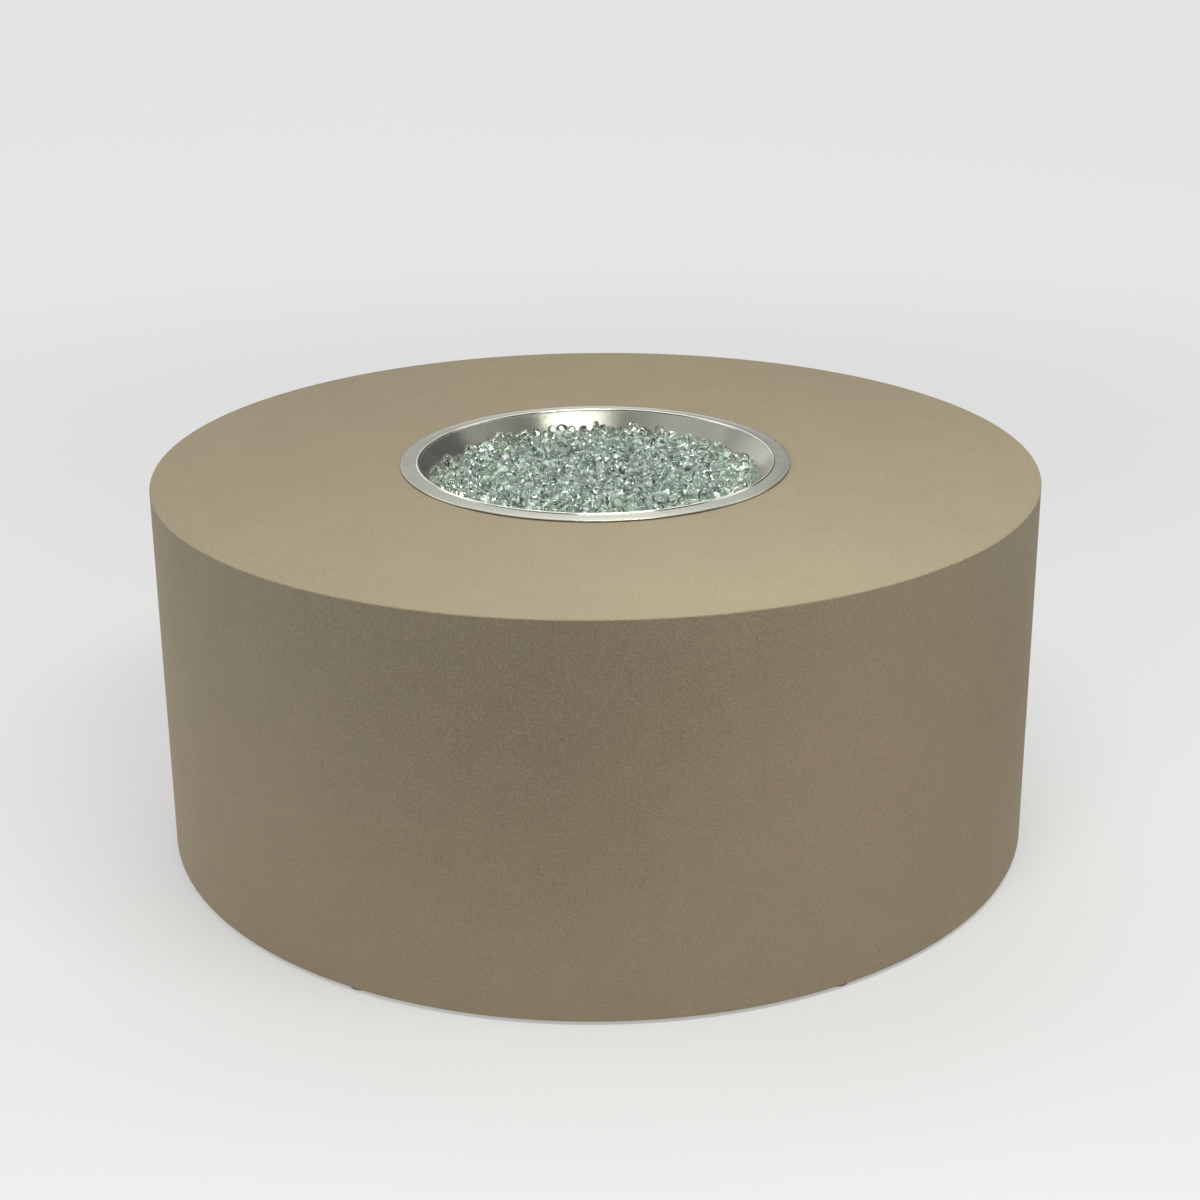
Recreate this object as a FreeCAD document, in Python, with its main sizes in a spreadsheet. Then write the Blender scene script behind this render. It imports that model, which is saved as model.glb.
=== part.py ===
import FreeCAD, Part
import math
import os

import Sketcher

# Gas fire pit table: a cast concrete drum with a drop-in burner pan, a ring burner under
# fire glass, and a key valve in the rear wall. Millimetres. Z is up, the floor is Z 0, the
# drum's axis is the Z axis, the front is -Y and the key valve is at the rear, +Y.

doc = FreeCAD.newDocument("fire_pit_table")
sheet = doc.addObject("Spreadsheet::Sheet", "Sizes")

SIZES = [
    # Drum
    ("drum_radius", 533.4),
    ("table_height", 457.2),
    ("wall", 20.0),
    ("top_thickness", 25.0),
    ("top_edge_round", 1.6),
    ("inner_corner_round", 18.0),
    ("foot_width", 40.0),
    ("foot_height", 30.0),
    ("foot_taper", 24.0),
    ("bottom_edge_round", 3.0),
    ("cutout_radius", 220.0),
    ("collar_width", 52.0),
    ("collar_depth", 15.0),
    # Rubber pads under the foot
    ("pad_radius", 16.0),
    ("pad_height", 3.0),
    # Notch for the supply hose, in the rear of the foot
    ("notch_width", 60.0),
    ("notch_height", 50.0),
    ("notch_round", 22.0),
    # Vent holes and their louvred covers
    ("vent_height", 240.0),
    ("vent_hole_radius", 45.0),
    ("vent_cover_radius", 57.5),
    ("vent_cover_sheet", 1.5),
    ("vent_spigot_length", 14.0),
    ("vent_seat_margin", 1.5),
    ("flat_seat_land", 0.8),
    ("louvre_pitch", 14.0),
    ("louvre_slot_height", 8.0),
    ("louvre_blade_depth", 11.0),
    ("vent_screw_circle", 51.3),
    ("screw_shank_radius", 1.9),
    ("screw_head_radius", 3.6),
    ("screw_head_height", 2.0),
    ("screw_length", 13.0),
    ("screw_hole_clearance", 0.2),
    # Burner pan
    ("pan_rim_radius", 237.0),
    ("pan_rim_height", 3.3),
    ("pan_rim_dish", 1.0),
    ("pan_mouth_radius", 212.0),
    ("pan_floor_radius", 160.0),
    ("pan_depth", 52.0),
    ("pan_sheet", 1.2),
    ("pan_floor_round", 8.0),
    ("pan_rim_round", 1.0),
    ("bead_offset", 4.6),
    ("bead_radius", 1.75),
    ("bead_sink", 0.55),
    ("weep_hole_radius", 4.0),
    ("weep_hole_circle", 40.0),
    # Burner
    ("burner_rise", 18.0),
    ("outer_ring_radius", 144.5),
    ("outer_tube_radius", 8.0),
    ("inner_ring_radius", 68.0),
    ("inner_tube_radius", 7.0),
    ("spoke_radius", 6.0),
    ("burner_tube_wall", 1.2),
    ("hub_radius", 16.0),
    ("hub_plug_length", 9.0),
    ("hub_plug_socket", 9.5),
    ("hub_plug_socket_depth", 6.0),
    ("port_radius", 1.6),
    # Half-inch pipe thread and the fittings on it
    ("pipe_radius", 10.65),
    ("pipe_bore", 7.9),
    ("pipe_engagement", 12.0),
    ("thread_gap", 0.1),
    ("nipple_hub_depth", 6.0),
    ("nipple_below_pan", 32.0),
    ("locknut_across", 28.6),
    ("locknut_height", 5.0),
    ("washer_radius", 24.0),
    ("washer_thickness", 2.0),
    ("adapter_across", 25.4),
    ("adapter_hex_length", 22.0),
    ("male_adapter_across", 22.2),
    ("male_adapter_hex", 8.0),
    ("elbow_radius", 11.0),
    ("elbow_bulge", 0.6),
    ("elbow_reach", 16.0),
    ("elbow_drop", 12.0),
    # Three-eighths flare fittings and the flexible connector
    ("flare_radius", 7.94),
    ("flare_length", 13.0),
    ("flare_bore", 4.4),
    ("flare_nut_across", 19.05),
    ("flare_nut_length", 18.0),
    ("flare_fit", 0.08),
    ("flare_nut_inset", 1.0),
    ("flex_radius", 6.35),
    ("flex_bore", 4.8),
    ("flex_seat_gap", 0.3),
    ("flex_straight_drop", 148.0),
    ("flex_belly_drop", 158.0),
    ("flex_belly_across", 150.0),
    ("flex_belly_back", 110.0),
    ("flex_rise_across", 218.0),
    ("flex_rise_short_of_valve", 172.0),
    ("flex_rise_below_valve", 30.0),
    ("flex_turn_across", 230.0),
    # Key valve
    ("valve_height", 250.0),
    ("boss_radius", 36.0),
    ("boss_height", 8.0),
    ("wall_hole_radius", 16.0),
    ("valve_reach", 35.4),
    ("body_radius", 15.5),
    ("body_inlet_length", 34.0),
    ("body_outlet_length", 20.0),
    ("stem_boss_radius", 13.0),
    ("shoulder_radius", 20.0),
    ("shoulder_thickness", 8.0),
    ("neck_radius", 11.5),
    ("neck_length", 22.0),
    ("key_well_radius", 9.0),
    ("ball_radius", 9.5),
    ("ball_bore", 5.0),
    ("ball_fit", 0.05),
    ("ball_cavity_radius", 10.6),
    ("ball_cavity_half", 9.0),
    ("seat_outer_radius", 8.6),
    ("seat_inner_radius", 5.4),
    ("seat_near", 6.6),
    ("seat_far", 12.0),
    ("passage_radius", 5.4),
    ("cap_across", 27.0),
    ("cap_length", 16.0),
    ("cap_spigot_radius", 12.2),
    ("stem_radius", 5.7),
    ("stem_fit", 0.05),
    ("stem_collar_radius", 6.9),
    ("stem_collar_height", 2.0),
    ("stem_collar_rise", 0.4),
    ("stem_tongue_width", 3.5),
    ("stem_tongue_length", 9.0),
    ("stem_tongue_depth", 3.0),
    ("tongue_fit", 0.1),
    ("stem_round_end", 30.0),
    ("stem_square", 7.94),
    ("stem_square_length", 12.0),
    ("packing_level", 18.0),
    ("packing_height", 4.0),
    ("packing_radius", 8.2),
    ("gland_height", 6.0),
    ("gland_slot_width", 2.0),
    ("gland_slot_depth", 1.5),
    # Escutcheon and key
    ("escutcheon_radius", 32.0),
    ("escutcheon_rim", 2.0),
    ("escutcheon_height", 6.0),
    ("escutcheon_bore", 9.0),
    ("sleeve_radius", 15.4),
    ("sleeve_length", 21.0),
    ("sleeve_thread_end", 3.4),
    ("key_length", 76.0),
    ("key_shank_radius", 7.0),
    ("key_neck_radius", 4.5),
    ("key_head_length", 30.0),
    ("key_square_fit", 0.08),
    ("key_socket_depth", 12.5),
    ("key_lift", 0.5),
    ("key_bow_width", 44.0),
    ("key_bow_height", 32.0),
    ("key_bow_thickness", 5.0),
    ("key_bow_rail", 7.0),
    # Fire glass
    ("glass_crown_drop", 9.0),
    ("glass_edge_drop", 10.5),
    ("glass_gap", 0.3),
    ("glass_burner_gap", 0.5),
]
for row, (alias, number) in enumerate(SIZES, start=1):
    sheet.set(f"A{row}", alias)
    sheet.set(f"B{row}", str(number))
    sheet.setAlias(f"B{row}", alias)
doc.recompute()

SCREWS_PER_COVER = 4
PAD_COUNT = 6
WEEP_HOLES = 4
SPOKES = 4
OUTER_PORTS = 36
INNER_PORTS = 16
LOUVRES = 5
BLADE_TILT = 40.0

# A nut's chamfer starts a little inside its flats and rises at about 30 degrees
CHAMFER_START = 0.49
CHAMFER_SPREAD = 1.8

# Levels and places that several pieces share, as rules on the sizes above
TOP = "Sizes.table_height"
PAN_SPLAY = "((Sizes.pan_mouth_radius - Sizes.pan_floor_radius) / Sizes.pan_depth)"
PAN_SKEW = f"(Sizes.pan_sheet * sqrt(1 + {PAN_SPLAY} ^ 2))"
PAN_FLOOR = "(Sizes.table_height - Sizes.pan_depth)"
PAN_UNDER = "(Sizes.table_height - Sizes.pan_depth - Sizes.pan_sheet)"
HUB_BOTTOM = f"({PAN_FLOOR} + Sizes.locknut_height)"
RING_LEVEL = f"({PAN_FLOOR} + Sizes.burner_rise)"
HUB_HEIGHT = "(2 * (Sizes.burner_rise - Sizes.locknut_height))"
PIPE_HOLE = "(Sizes.pipe_radius + Sizes.thread_gap)"
NIPPLE_BOTTOM = f"({PAN_UNDER} - Sizes.nipple_below_pan)"
ADAPTER_TOP = f"({NIPPLE_BOTTOM} + Sizes.pipe_engagement)"
ADAPTER_HEX_BOTTOM = f"({ADAPTER_TOP} - Sizes.adapter_hex_length)"
VENT_SEAT_RADIUS = "(Sizes.vent_cover_radius + Sizes.vent_seat_margin)"
VENT_SEAT = f"(sqrt(Sizes.drum_radius ^ 2 - {VENT_SEAT_RADIUS} ^ 2) - Sizes.flat_seat_land)"
KEY_SEAT_RADIUS = "(Sizes.escutcheon_radius + Sizes.vent_seat_margin)"
KEY_SEAT = f"(sqrt(Sizes.drum_radius ^ 2 - {KEY_SEAT_RADIUS} ^ 2) - Sizes.flat_seat_land)"
BOSS_FACE = "(Sizes.drum_radius - Sizes.wall - Sizes.boss_height)"
VALVE_CENTRE = f"({BOSS_FACE} - Sizes.valve_reach)"
CAP_FACE = "Sizes.body_outlet_length"
CAP_END = "(Sizes.body_outlet_length + Sizes.cap_length)"

UPRIGHT = FreeCAD.Rotation()
STEM_OUTWARDS = FreeCAD.Rotation(FreeCAD.Vector(1, 0, 0), -90)
TOWARDS_X = FreeCAD.Rotation(FreeCAD.Vector(0, 1, 0), 90)
AWAY_FROM_X = FreeCAD.Rotation(FreeCAD.Vector(0, 1, 0), -90)

sub_parts = []


def value(alias):
    """A size read from the sheet."""
    return float(sheet.get(alias))


def bind(thing, **rules):
    """Ties properties of one object to rules on the sizes."""
    for name, rule in rules.items():
        thing.setExpression(name, rule)
    return thing


def place(thing, x=None, y=None, z=None, turn=UPRIGHT):
    """Turns an object and ties the place of its origin to rules."""
    thing.Placement = FreeCAD.Placement(FreeCAD.Vector(), turn)
    for letter, rule in (("x", x), ("y", y), ("z", z)):
        if rule is not None:
            thing.setExpression(f"Placement.Base.{letter}", rule)
    return thing


def keep(thing, label):
    """Marks an object as a finished sub-part under its own label."""
    thing.Label = label
    sub_parts.append(thing)
    return thing


def body(name):
    return doc.addObject("PartDesign::Body", name)


def plane(owner, role):
    return [part for part in owner.Origin.OriginFeatures if part.Role == role][0]


def sketch(owner, name, role, shift=None):
    """A sketch on one of the body's own planes, moved along its normal by a rule."""
    drawing = owner.newObject("Sketcher::SketchObject", name)
    drawing.AttachmentSupport = [(plane(owner, role), "")]
    drawing.MapMode = "FlatFace"
    if shift is not None:
        drawing.setExpression("AttachmentOffset.Base.z", shift)
    return drawing


def fix_point(drawing, shape, end, across, along):
    """Ties one point of a sketch to rules; None puts it on the sketch's own axis."""
    if across is None:
        drawing.addConstraint(Sketcher.Constraint("PointOnObject", shape, end, -2))
    else:
        tie = drawing.addConstraint(Sketcher.Constraint("DistanceX", -1, 1, shape, end, 1.0))
        drawing.setExpression(f"Constraints[{tie}]", across)
    if along is None:
        drawing.addConstraint(Sketcher.Constraint("PointOnObject", shape, end, -1))
    else:
        tie = drawing.addConstraint(Sketcher.Constraint("DistanceY", -1, 1, shape, end, 1.0))
        drawing.setExpression(f"Constraints[{tie}]", along)


def outline(owner, name, role, corners, shift=None):
    """A closed outline of straight runs through corners that are given as pairs of rules."""
    drawing = sketch(owner, name, role, shift)
    count = len(corners)
    start_places = [
        FreeCAD.Vector(math.cos(2 * math.pi * i / count), math.sin(2 * math.pi * i / count), 0)
        for i in range(count)
    ]
    for i in range(count):
        drawing.addGeometry(Part.LineSegment(start_places[i], start_places[(i + 1) % count]))
    for i in range(count):
        drawing.addConstraint(Sketcher.Constraint("Coincident", i, 2, (i + 1) % count, 1))
    for i, (across, along) in enumerate(corners):
        fix_point(drawing, i, 1, across, along)
    return drawing


def circles(owner, name, role, radius, centres, shift=None):
    """Equal circles about centres that are given as pairs of rules."""
    drawing = sketch(owner, name, role, shift)
    for i, (across, along) in enumerate(centres):
        drawing.addGeometry(Part.Circle(FreeCAD.Vector(i, i, 0), FreeCAD.Vector(0, 0, 1), 1.0))
        fix_point(drawing, i, 3, across, along)
        tie = drawing.addConstraint(Sketcher.Constraint("Radius", i, 1.0))
        drawing.setExpression(f"Constraints[{tie}]", radius)
    return drawing


def revolve(owner, name, drawing):
    """Turns a sketch of the XZ plane about the body's own Z axis."""
    feature = owner.newObject("PartDesign::Revolution", name)
    feature.Profile = drawing
    feature.ReferenceAxis = (drawing, ["V_Axis"])
    feature.Angle = 360
    doc.recompute()
    return feature


def extrude(owner, name, drawing, kind, length=None, reverse=False, both_ways=False):
    """Pads or pockets a sketch by a rule, or through everything when no rule is given."""
    feature = owner.newObject(kind, name)
    feature.Profile = drawing
    feature.Reversed = reverse
    if both_ways:
        feature.SideType = "Symmetric"
    if length is None:
        feature.Type = "ThroughAll"
    else:
        feature.setExpression("Length", length)
    before = owner.Shape.Volume
    doc.recompute()
    gained = feature.Shape.Volume - before
    if gained * (1 if kind.endswith("Pad") else -1) <= 0:
        raise RuntimeError(f"{name} changes the volume by {gained:.3f}")
    return feature


def circular_edges(shape, radius, level, tolerance=0.02):
    """Names of the full circles about the Z axis at a radius and level."""
    names = []
    for i, edge in enumerate(shape.Edges, start=1):
        curve = edge.Curve
        if not isinstance(curve, Part.Circle):
            continue
        on_axis = math.hypot(curve.Center.x, curve.Center.y) < tolerance
        if on_axis and abs(curve.Radius - radius) < tolerance and abs(curve.Center.z - level) < tolerance:
            names.append(f"Edge{i}")
    if not names:
        raise RuntimeError(f"no circle of radius {radius:.2f} at level {level:.2f}")
    return names


def round_edges(owner, name, edges, radius):
    """Rounds named edges of a body's last feature by a rule."""
    last = owner.Tip
    feature = owner.newObject("PartDesign::Fillet", name)
    feature.Base = (last, edges)
    feature.setExpression("Radius", radius)
    doc.recompute()
    return feature


def cylinder(name, radius, height, x=None, y=None, z=None, turn=UPRIGHT):
    rod = doc.addObject("Part::Cylinder", name)
    bind(rod, Radius=radius, Height=height)
    return place(rod, x, y, z, turn)


def box(name, length, width, height, x=None, y=None, z=None, turn=UPRIGHT):
    block = doc.addObject("Part::Box", name)
    bind(block, Length=length, Width=width, Height=height)
    return place(block, x, y, z, turn)


def fuse(name, pieces):
    joined = doc.addObject("Part::MultiFuse", name)
    joined.Shapes = pieces
    return joined


def common(name, first, second):
    shared = doc.addObject("Part::Common", name)
    shared.Base = first
    shared.Tool = second
    return shared


def cut(name, base, tools):
    """Takes one tool, or several joined, away from a base."""
    tool = tools[0] if len(tools) == 1 else fuse(f"{name}_tools", tools)
    result = doc.addObject("Part::Cut", name)
    result.Base = base
    result.Tool = tool
    return result


def hexagon(name, across, height, z=None):
    """A hexagonal bar along Z, its corners chamfered at both ends as on a turned nut."""
    bar = doc.addObject("Part::Prism", f"{name}_bar")
    bar.Polygon = 6
    bind(bar, Circumradius=f"{across} / sqrt(3)", Height=height)
    place(bar, z=z)
    narrow = f"{CHAMFER_START} * {across}"
    wide = f"{narrow} + {CHAMFER_SPREAD} * {height}"
    lower = doc.addObject("Part::Cone", f"{name}_lower_chamfer")
    bind(lower, Radius1=narrow, Radius2=wide, Height=height)
    place(lower, z=z)
    upper = doc.addObject("Part::Cone", f"{name}_upper_chamfer")
    bind(upper, Radius1=wide, Radius2=narrow, Height=height)
    place(upper, z=z)
    return common(f"{name}_hex", common(f"{name}_first", bar, lower), upper)


def turned(name, corners):
    """A piece turned about Z from an outline in the XZ plane."""
    owner = body(name)
    revolve(owner, f"{name}_turned", outline(owner, f"{name}_outline", "XZ_Plane", corners))
    return owner


# Drum: side, top, collar round the cut-out and foot rim, cast in one piece
shell = body("DrumShell")
inner = "Sizes.drum_radius - Sizes.wall"
foot_inner = "Sizes.drum_radius - Sizes.foot_width"
ceiling = f"{TOP} - Sizes.top_thickness"
collar_outer = "Sizes.cutout_radius + Sizes.collar_width"
shell_profile = outline(shell, "ShellProfile", "XZ_Plane", [
    ("Sizes.drum_radius", "Sizes.pad_height"),
    ("Sizes.drum_radius", TOP),
    ("Sizes.cutout_radius", TOP),
    ("Sizes.cutout_radius", f"{ceiling} - Sizes.collar_depth"),
    (collar_outer, f"{ceiling} - Sizes.collar_depth"),
    (f"{collar_outer} + Sizes.collar_depth", ceiling),
    (inner, ceiling),
    (inner, "Sizes.pad_height + Sizes.foot_height + Sizes.foot_taper"),
    (foot_inner, "Sizes.pad_height + Sizes.foot_height"),
    (foot_inner, "Sizes.pad_height"),
])
revolve(shell, "ShellTurned", shell_profile)
round_edges(shell, "TopEdge", circular_edges(
    shell.Shape, value("drum_radius"), value("table_height")), "Sizes.top_edge_round")
round_edges(shell, "BottomEdge", circular_edges(
    shell.Shape, value("drum_radius"), value("pad_height")), "Sizes.bottom_edge_round")
round_edges(shell, "InnerCorner", circular_edges(
    shell.Shape, value("drum_radius") - value("wall"),
    value("table_height") - value("top_thickness")), "Sizes.inner_corner_round")

# Flat boss inside and flat seat outside for the key valve, and the hole for its sleeve
boss_ring = circles(shell, "BossCircle", "XZ_Plane", "Sizes.boss_radius",
                    [(None, "Sizes.valve_height")], shift=f"-{BOSS_FACE}")
extrude(shell, "Boss", boss_ring, "PartDesign::Pad",
        "Sizes.boss_height + Sizes.wall / 2", reverse=True)
key_seat_ring = circles(shell, "KeySeatCircle", "XZ_Plane", KEY_SEAT_RADIUS,
                        [(None, "Sizes.valve_height")], shift=f"-{KEY_SEAT}")
extrude(shell, "KeySeat", key_seat_ring, "PartDesign::Pocket", "Sizes.wall")
key_hole = circles(shell, "KeyHoleCircle", "XZ_Plane", "Sizes.wall_hole_radius",
                   [(None, "Sizes.valve_height")], shift=f"-{BOSS_FACE} + Sizes.wall")
extrude(shell, "KeyHole", key_hole, "PartDesign::Pocket",
        "3 * Sizes.wall + Sizes.boss_height")

# Arched notch in the rear of the foot for the supply hose
half_notch = "Sizes.notch_width / 2"
notch_top = "Sizes.pad_height + Sizes.notch_height"
notch_spring = f"{notch_top} - Sizes.notch_round"
notch_reach = f"-({foot_inner}) + Sizes.foot_width"
notch_sketch = outline(shell, "NotchOutline", "XZ_Plane", [
    (f"-{half_notch}", None),
    (half_notch, None),
    (half_notch, notch_spring),
    (f"{half_notch} - Sizes.notch_round", notch_top),
    (f"-({half_notch} - Sizes.notch_round)", notch_top),
    (f"-{half_notch}", notch_spring),
], shift=notch_reach)
extrude(shell, "Notch", notch_sketch, "PartDesign::Pocket", "3 * Sizes.foot_width")
for side, sign in (("Right", ""), ("Left", "-")):
    haunch = circles(shell, f"NotchHaunch{side}", "XZ_Plane", "Sizes.notch_round",
                     [(f"{sign}({half_notch} - Sizes.notch_round)", notch_spring)],
                     shift=notch_reach)
    extrude(shell, f"NotchArch{side}", haunch, "PartDesign::Pocket", "3 * Sizes.foot_width")

# Round vent holes left and right, each with a flat seat and pilot holes for its cover
vent_ring = circles(shell, "VentCircle", "YZ_Plane", "Sizes.vent_hole_radius",
                    [(None, "Sizes.vent_height")])
extrude(shell, "VentHoles", vent_ring, "PartDesign::Pocket", both_ways=True)
SCREW_ANGLES = [360 / SCREWS_PER_COVER * (i + 0.5) for i in range(SCREWS_PER_COVER)]
pilot_centres = [
    (f"Sizes.vent_screw_circle * {math.cos(math.radians(a)):.6f}",
     f"Sizes.vent_height + Sizes.vent_screw_circle * {math.sin(math.radians(a)):.6f}")
    for a in SCREW_ANGLES
]
for side, sign, away in (("Right", "", True), ("Left", "-", False)):
    seat_ring = circles(shell, f"VentSeatCircle{side}", "YZ_Plane", VENT_SEAT_RADIUS,
                        [(None, "Sizes.vent_height")], shift=f"{sign}{VENT_SEAT}")
    extrude(shell, f"VentSeat{side}", seat_ring, "PartDesign::Pocket", "Sizes.wall", reverse=away)
    pilots = circles(shell, f"PilotCircles{side}", "YZ_Plane",
                     "Sizes.screw_shank_radius + Sizes.screw_hole_clearance / 2",
                     pilot_centres, shift=f"{sign}{VENT_SEAT}")
    extrude(shell, f"PilotHoles{side}", pilots, "PartDesign::Pocket",
            "Sizes.screw_length", reverse=not away)
keep(shell, "drum_shell")

# Rubber pads under the foot rim
pads = []
for i in range(PAD_COUNT):
    angle = math.radians(360 / PAD_COUNT * i)
    ring = "(Sizes.drum_radius - Sizes.foot_width / 2)"
    pads.append(cylinder(f"Pad{i + 1}", "Sizes.pad_radius", "Sizes.pad_height",
                         x=f"{ring} * {math.cos(angle):.6f}", y=f"{ring} * {math.sin(angle):.6f}"))
pad_group = doc.addObject("Part::Compound", "Pads")
pad_group.Links = pads
keep(pad_group, "foot_pads")

# Louvred vent covers: a flat flange, a spigot in the hole and slots with a blade behind each,
# which is bent in from the slot's lower edge and rises inwards, so that rain runs out again

def vent_cover(side, turn, sign):
    """One cover, made with its flange on the XY plane and turned to its side of the drum."""
    flange = cylinder(f"Flange{side}", "Sizes.vent_cover_radius", "Sizes.vent_cover_sheet")
    spigot_radius = "Sizes.vent_hole_radius - Sizes.vent_seat_margin"
    inner_radius = f"{spigot_radius} - Sizes.vent_cover_sheet"
    spigot = cylinder(f"Spigot{side}", spigot_radius, "Sizes.vent_spigot_length",
                      z="-Sizes.vent_spigot_length")
    hollow = cylinder(f"Hollow{side}", inner_radius, "Sizes.vent_spigot_length",
                      z="-Sizes.vent_spigot_length")
    root = "(Sizes.vent_cover_sheet * 0.4)"
    slots = []
    blades = []
    for i in range(LOUVRES):
        level = f"(Sizes.louvre_pitch * {i - (LOUVRES - 1) / 2})"
        reach = f"sqrt(({inner_radius}) ^ 2 - (abs({level}) + Sizes.louvre_slot_height / 2) ^ 2)"
        half_slot = f"({reach} - 2 * Sizes.vent_cover_sheet)"
        slots.append(box(f"Slot{side}{i + 1}", "Sizes.louvre_slot_height", f"2 * {half_slot}",
                         "3 * Sizes.vent_cover_sheet", x=f"{level} - Sizes.louvre_slot_height / 2",
                         y=f"-{half_slot}", z="-Sizes.vent_cover_sheet"))
        tilt = FreeCAD.Rotation(FreeCAD.Vector(0, 1, 0), 90 + BLADE_TILT)
        blades.append(box(f"Blade{side}{i + 1}", "Sizes.louvre_blade_depth", f"2 * {inner_radius}",
                          "Sizes.vent_cover_sheet", x=f"{level} + Sizes.louvre_slot_height / 2 + {root}",
                          y=f"-({inner_radius})", z=f"Sizes.vent_cover_sheet - {root} / 2",
                          turn=tilt))
    room = cylinder(f"BladeRoom{side}", f"{inner_radius} + Sizes.vent_cover_sheet / 2",
                    "Sizes.vent_spigot_length + Sizes.vent_cover_sheet / 2",
                    z="-Sizes.vent_spigot_length")
    blade_set = common(f"BladeSet{side}", fuse(f"Blades{side}", blades), room)
    holes = [
        cylinder(f"CoverHole{side}{i + 1}", "Sizes.screw_shank_radius + Sizes.screw_hole_clearance",
                 "3 * Sizes.vent_cover_sheet",
                 x=f"Sizes.vent_screw_circle * {math.sin(math.radians(a)):.6f}",
                 y=f"Sizes.vent_screw_circle * {math.cos(math.radians(a)):.6f}",
                 z="-Sizes.vent_cover_sheet")
        for i, a in enumerate(SCREW_ANGLES)
    ]
    plate = cut(f"Plate{side}", flange, slots + holes)
    tube = cut(f"Tube{side}", spigot, [hollow])
    cover = fuse(f"VentCover{side}", [plate, tube, blade_set])
    place(cover, x=f"{sign}{VENT_SEAT}", z="Sizes.vent_height", turn=turn)
    return cover


keep(vent_cover("Right", TOWARDS_X, ""), "vent_cover_right")
left_turn = FreeCAD.Rotation(FreeCAD.Vector(0, 0, 1), 180).multiply(TOWARDS_X)
keep(vent_cover("Left", left_turn, "-"), "vent_cover_left")

# Screws of the vent covers: round heads on plain shanks
screws = []
for side, turn, sign in (("Right", TOWARDS_X, ""), ("Left", AWAY_FROM_X, "-")):
    for i, a in enumerate(SCREW_ANGLES):
        shank = cylinder(f"Shank{side}{i + 1}", "Sizes.screw_shank_radius", "Sizes.screw_length",
                         z="Sizes.vent_cover_sheet - Sizes.screw_length")
        head = cylinder(f"Head{side}{i + 1}", "Sizes.screw_head_radius",
                        "Sizes.screw_head_height", z="Sizes.vent_cover_sheet")
        screw = fuse(f"Screw{side}{i + 1}", [shank, head])
        place(screw, x=f"{sign}{VENT_SEAT}",
              y=f"Sizes.vent_screw_circle * {math.cos(math.radians(a)):.6f}",
              z=f"Sizes.vent_height + Sizes.vent_screw_circle * {math.sin(math.radians(a)):.6f}",
              turn=turn)
        screws.append(screw)
screw_group = doc.addObject("Part::Compound", "VentScrews")
screw_group.Links = screws
keep(screw_group, "vent_screws")

# Burner pan: one spun sheet with a turned-down rim, a bead and a sloped wall. The rim falls a
# little from the bead to its edge.
pan = body("BurnerPan")
rim_top = f"{TOP} + Sizes.pan_rim_height"
under_rim = f"{TOP} + Sizes.pan_rim_height - Sizes.pan_sheet"
pan_profile = outline(pan, "PanProfile", "XZ_Plane", [
    ("Sizes.pan_rim_radius", TOP),
    ("Sizes.pan_rim_radius", f"{rim_top} - Sizes.pan_rim_dish"),
    (f"Sizes.pan_mouth_radius + Sizes.pan_rim_height * {PAN_SPLAY}", rim_top),
    ("Sizes.pan_floor_radius", PAN_FLOOR),
    (f"{PIPE_HOLE} + Sizes.thread_gap", PAN_FLOOR),
    (f"{PIPE_HOLE} + Sizes.thread_gap", PAN_UNDER),
    (f"Sizes.pan_floor_radius - Sizes.pan_sheet * {PAN_SPLAY} + {PAN_SKEW}", PAN_UNDER),
    (f"Sizes.pan_mouth_radius + (Sizes.pan_rim_height - Sizes.pan_sheet) * {PAN_SPLAY} + {PAN_SKEW}",
     under_rim),
    ("Sizes.pan_rim_radius - Sizes.pan_sheet", f"{under_rim} - Sizes.pan_rim_dish"),
    ("Sizes.pan_rim_radius - Sizes.pan_sheet", TOP),
])
revolve(pan, "PanTurned", pan_profile)
round_edges(pan, "FloorRound", circular_edges(
    pan.Shape, value("pan_floor_radius"), value("table_height") - value("pan_depth")),
    "Sizes.pan_floor_round")
pan_splay = (value("pan_mouth_radius") - value("pan_floor_radius")) / value("pan_depth")
pan_skew = value("pan_sheet") * math.sqrt(1 + pan_splay ** 2)
round_edges(pan, "FloorRoundUnder", circular_edges(
    pan.Shape, value("pan_floor_radius") - value("pan_sheet") * pan_splay + pan_skew,
    value("table_height") - value("pan_depth") - value("pan_sheet")),
    "Sizes.pan_floor_round + Sizes.pan_sheet")
round_edges(pan, "RimRound", circular_edges(
    pan.Shape, value("pan_rim_radius"),
    value("table_height") + value("pan_rim_height") - value("pan_rim_dish")),
    "Sizes.pan_rim_round")

# The bead, a half-round ridge at the flange's inner edge
bead_centre = f"Sizes.pan_mouth_radius + Sizes.bead_offset"
bead_ring = circles(pan, "BeadSection", "XZ_Plane", "Sizes.bead_radius",
                    [(bead_centre, f"{rim_top} - Sizes.bead_sink")])
revolve(pan, "Bead", bead_ring)

# Weep holes that drain rain from the pan
weep_centres = [
    (f"Sizes.weep_hole_circle * {math.cos(math.pi * (2 * i + 1) / WEEP_HOLES):.6f}",
     f"Sizes.weep_hole_circle * {math.sin(math.pi * (2 * i + 1) / WEEP_HOLES):.6f}")
    for i in range(WEEP_HOLES)
]
weep_sketch = circles(pan, "WeepCircles", "XY_Plane", "Sizes.weep_hole_radius", weep_centres,
                      shift=f"{PAN_FLOOR} + Sizes.pan_sheet")
extrude(pan, "WeepHoles", weep_sketch, "PartDesign::Pocket", "4 * Sizes.pan_sheet")
keep(pan, "burner_pan")


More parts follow.
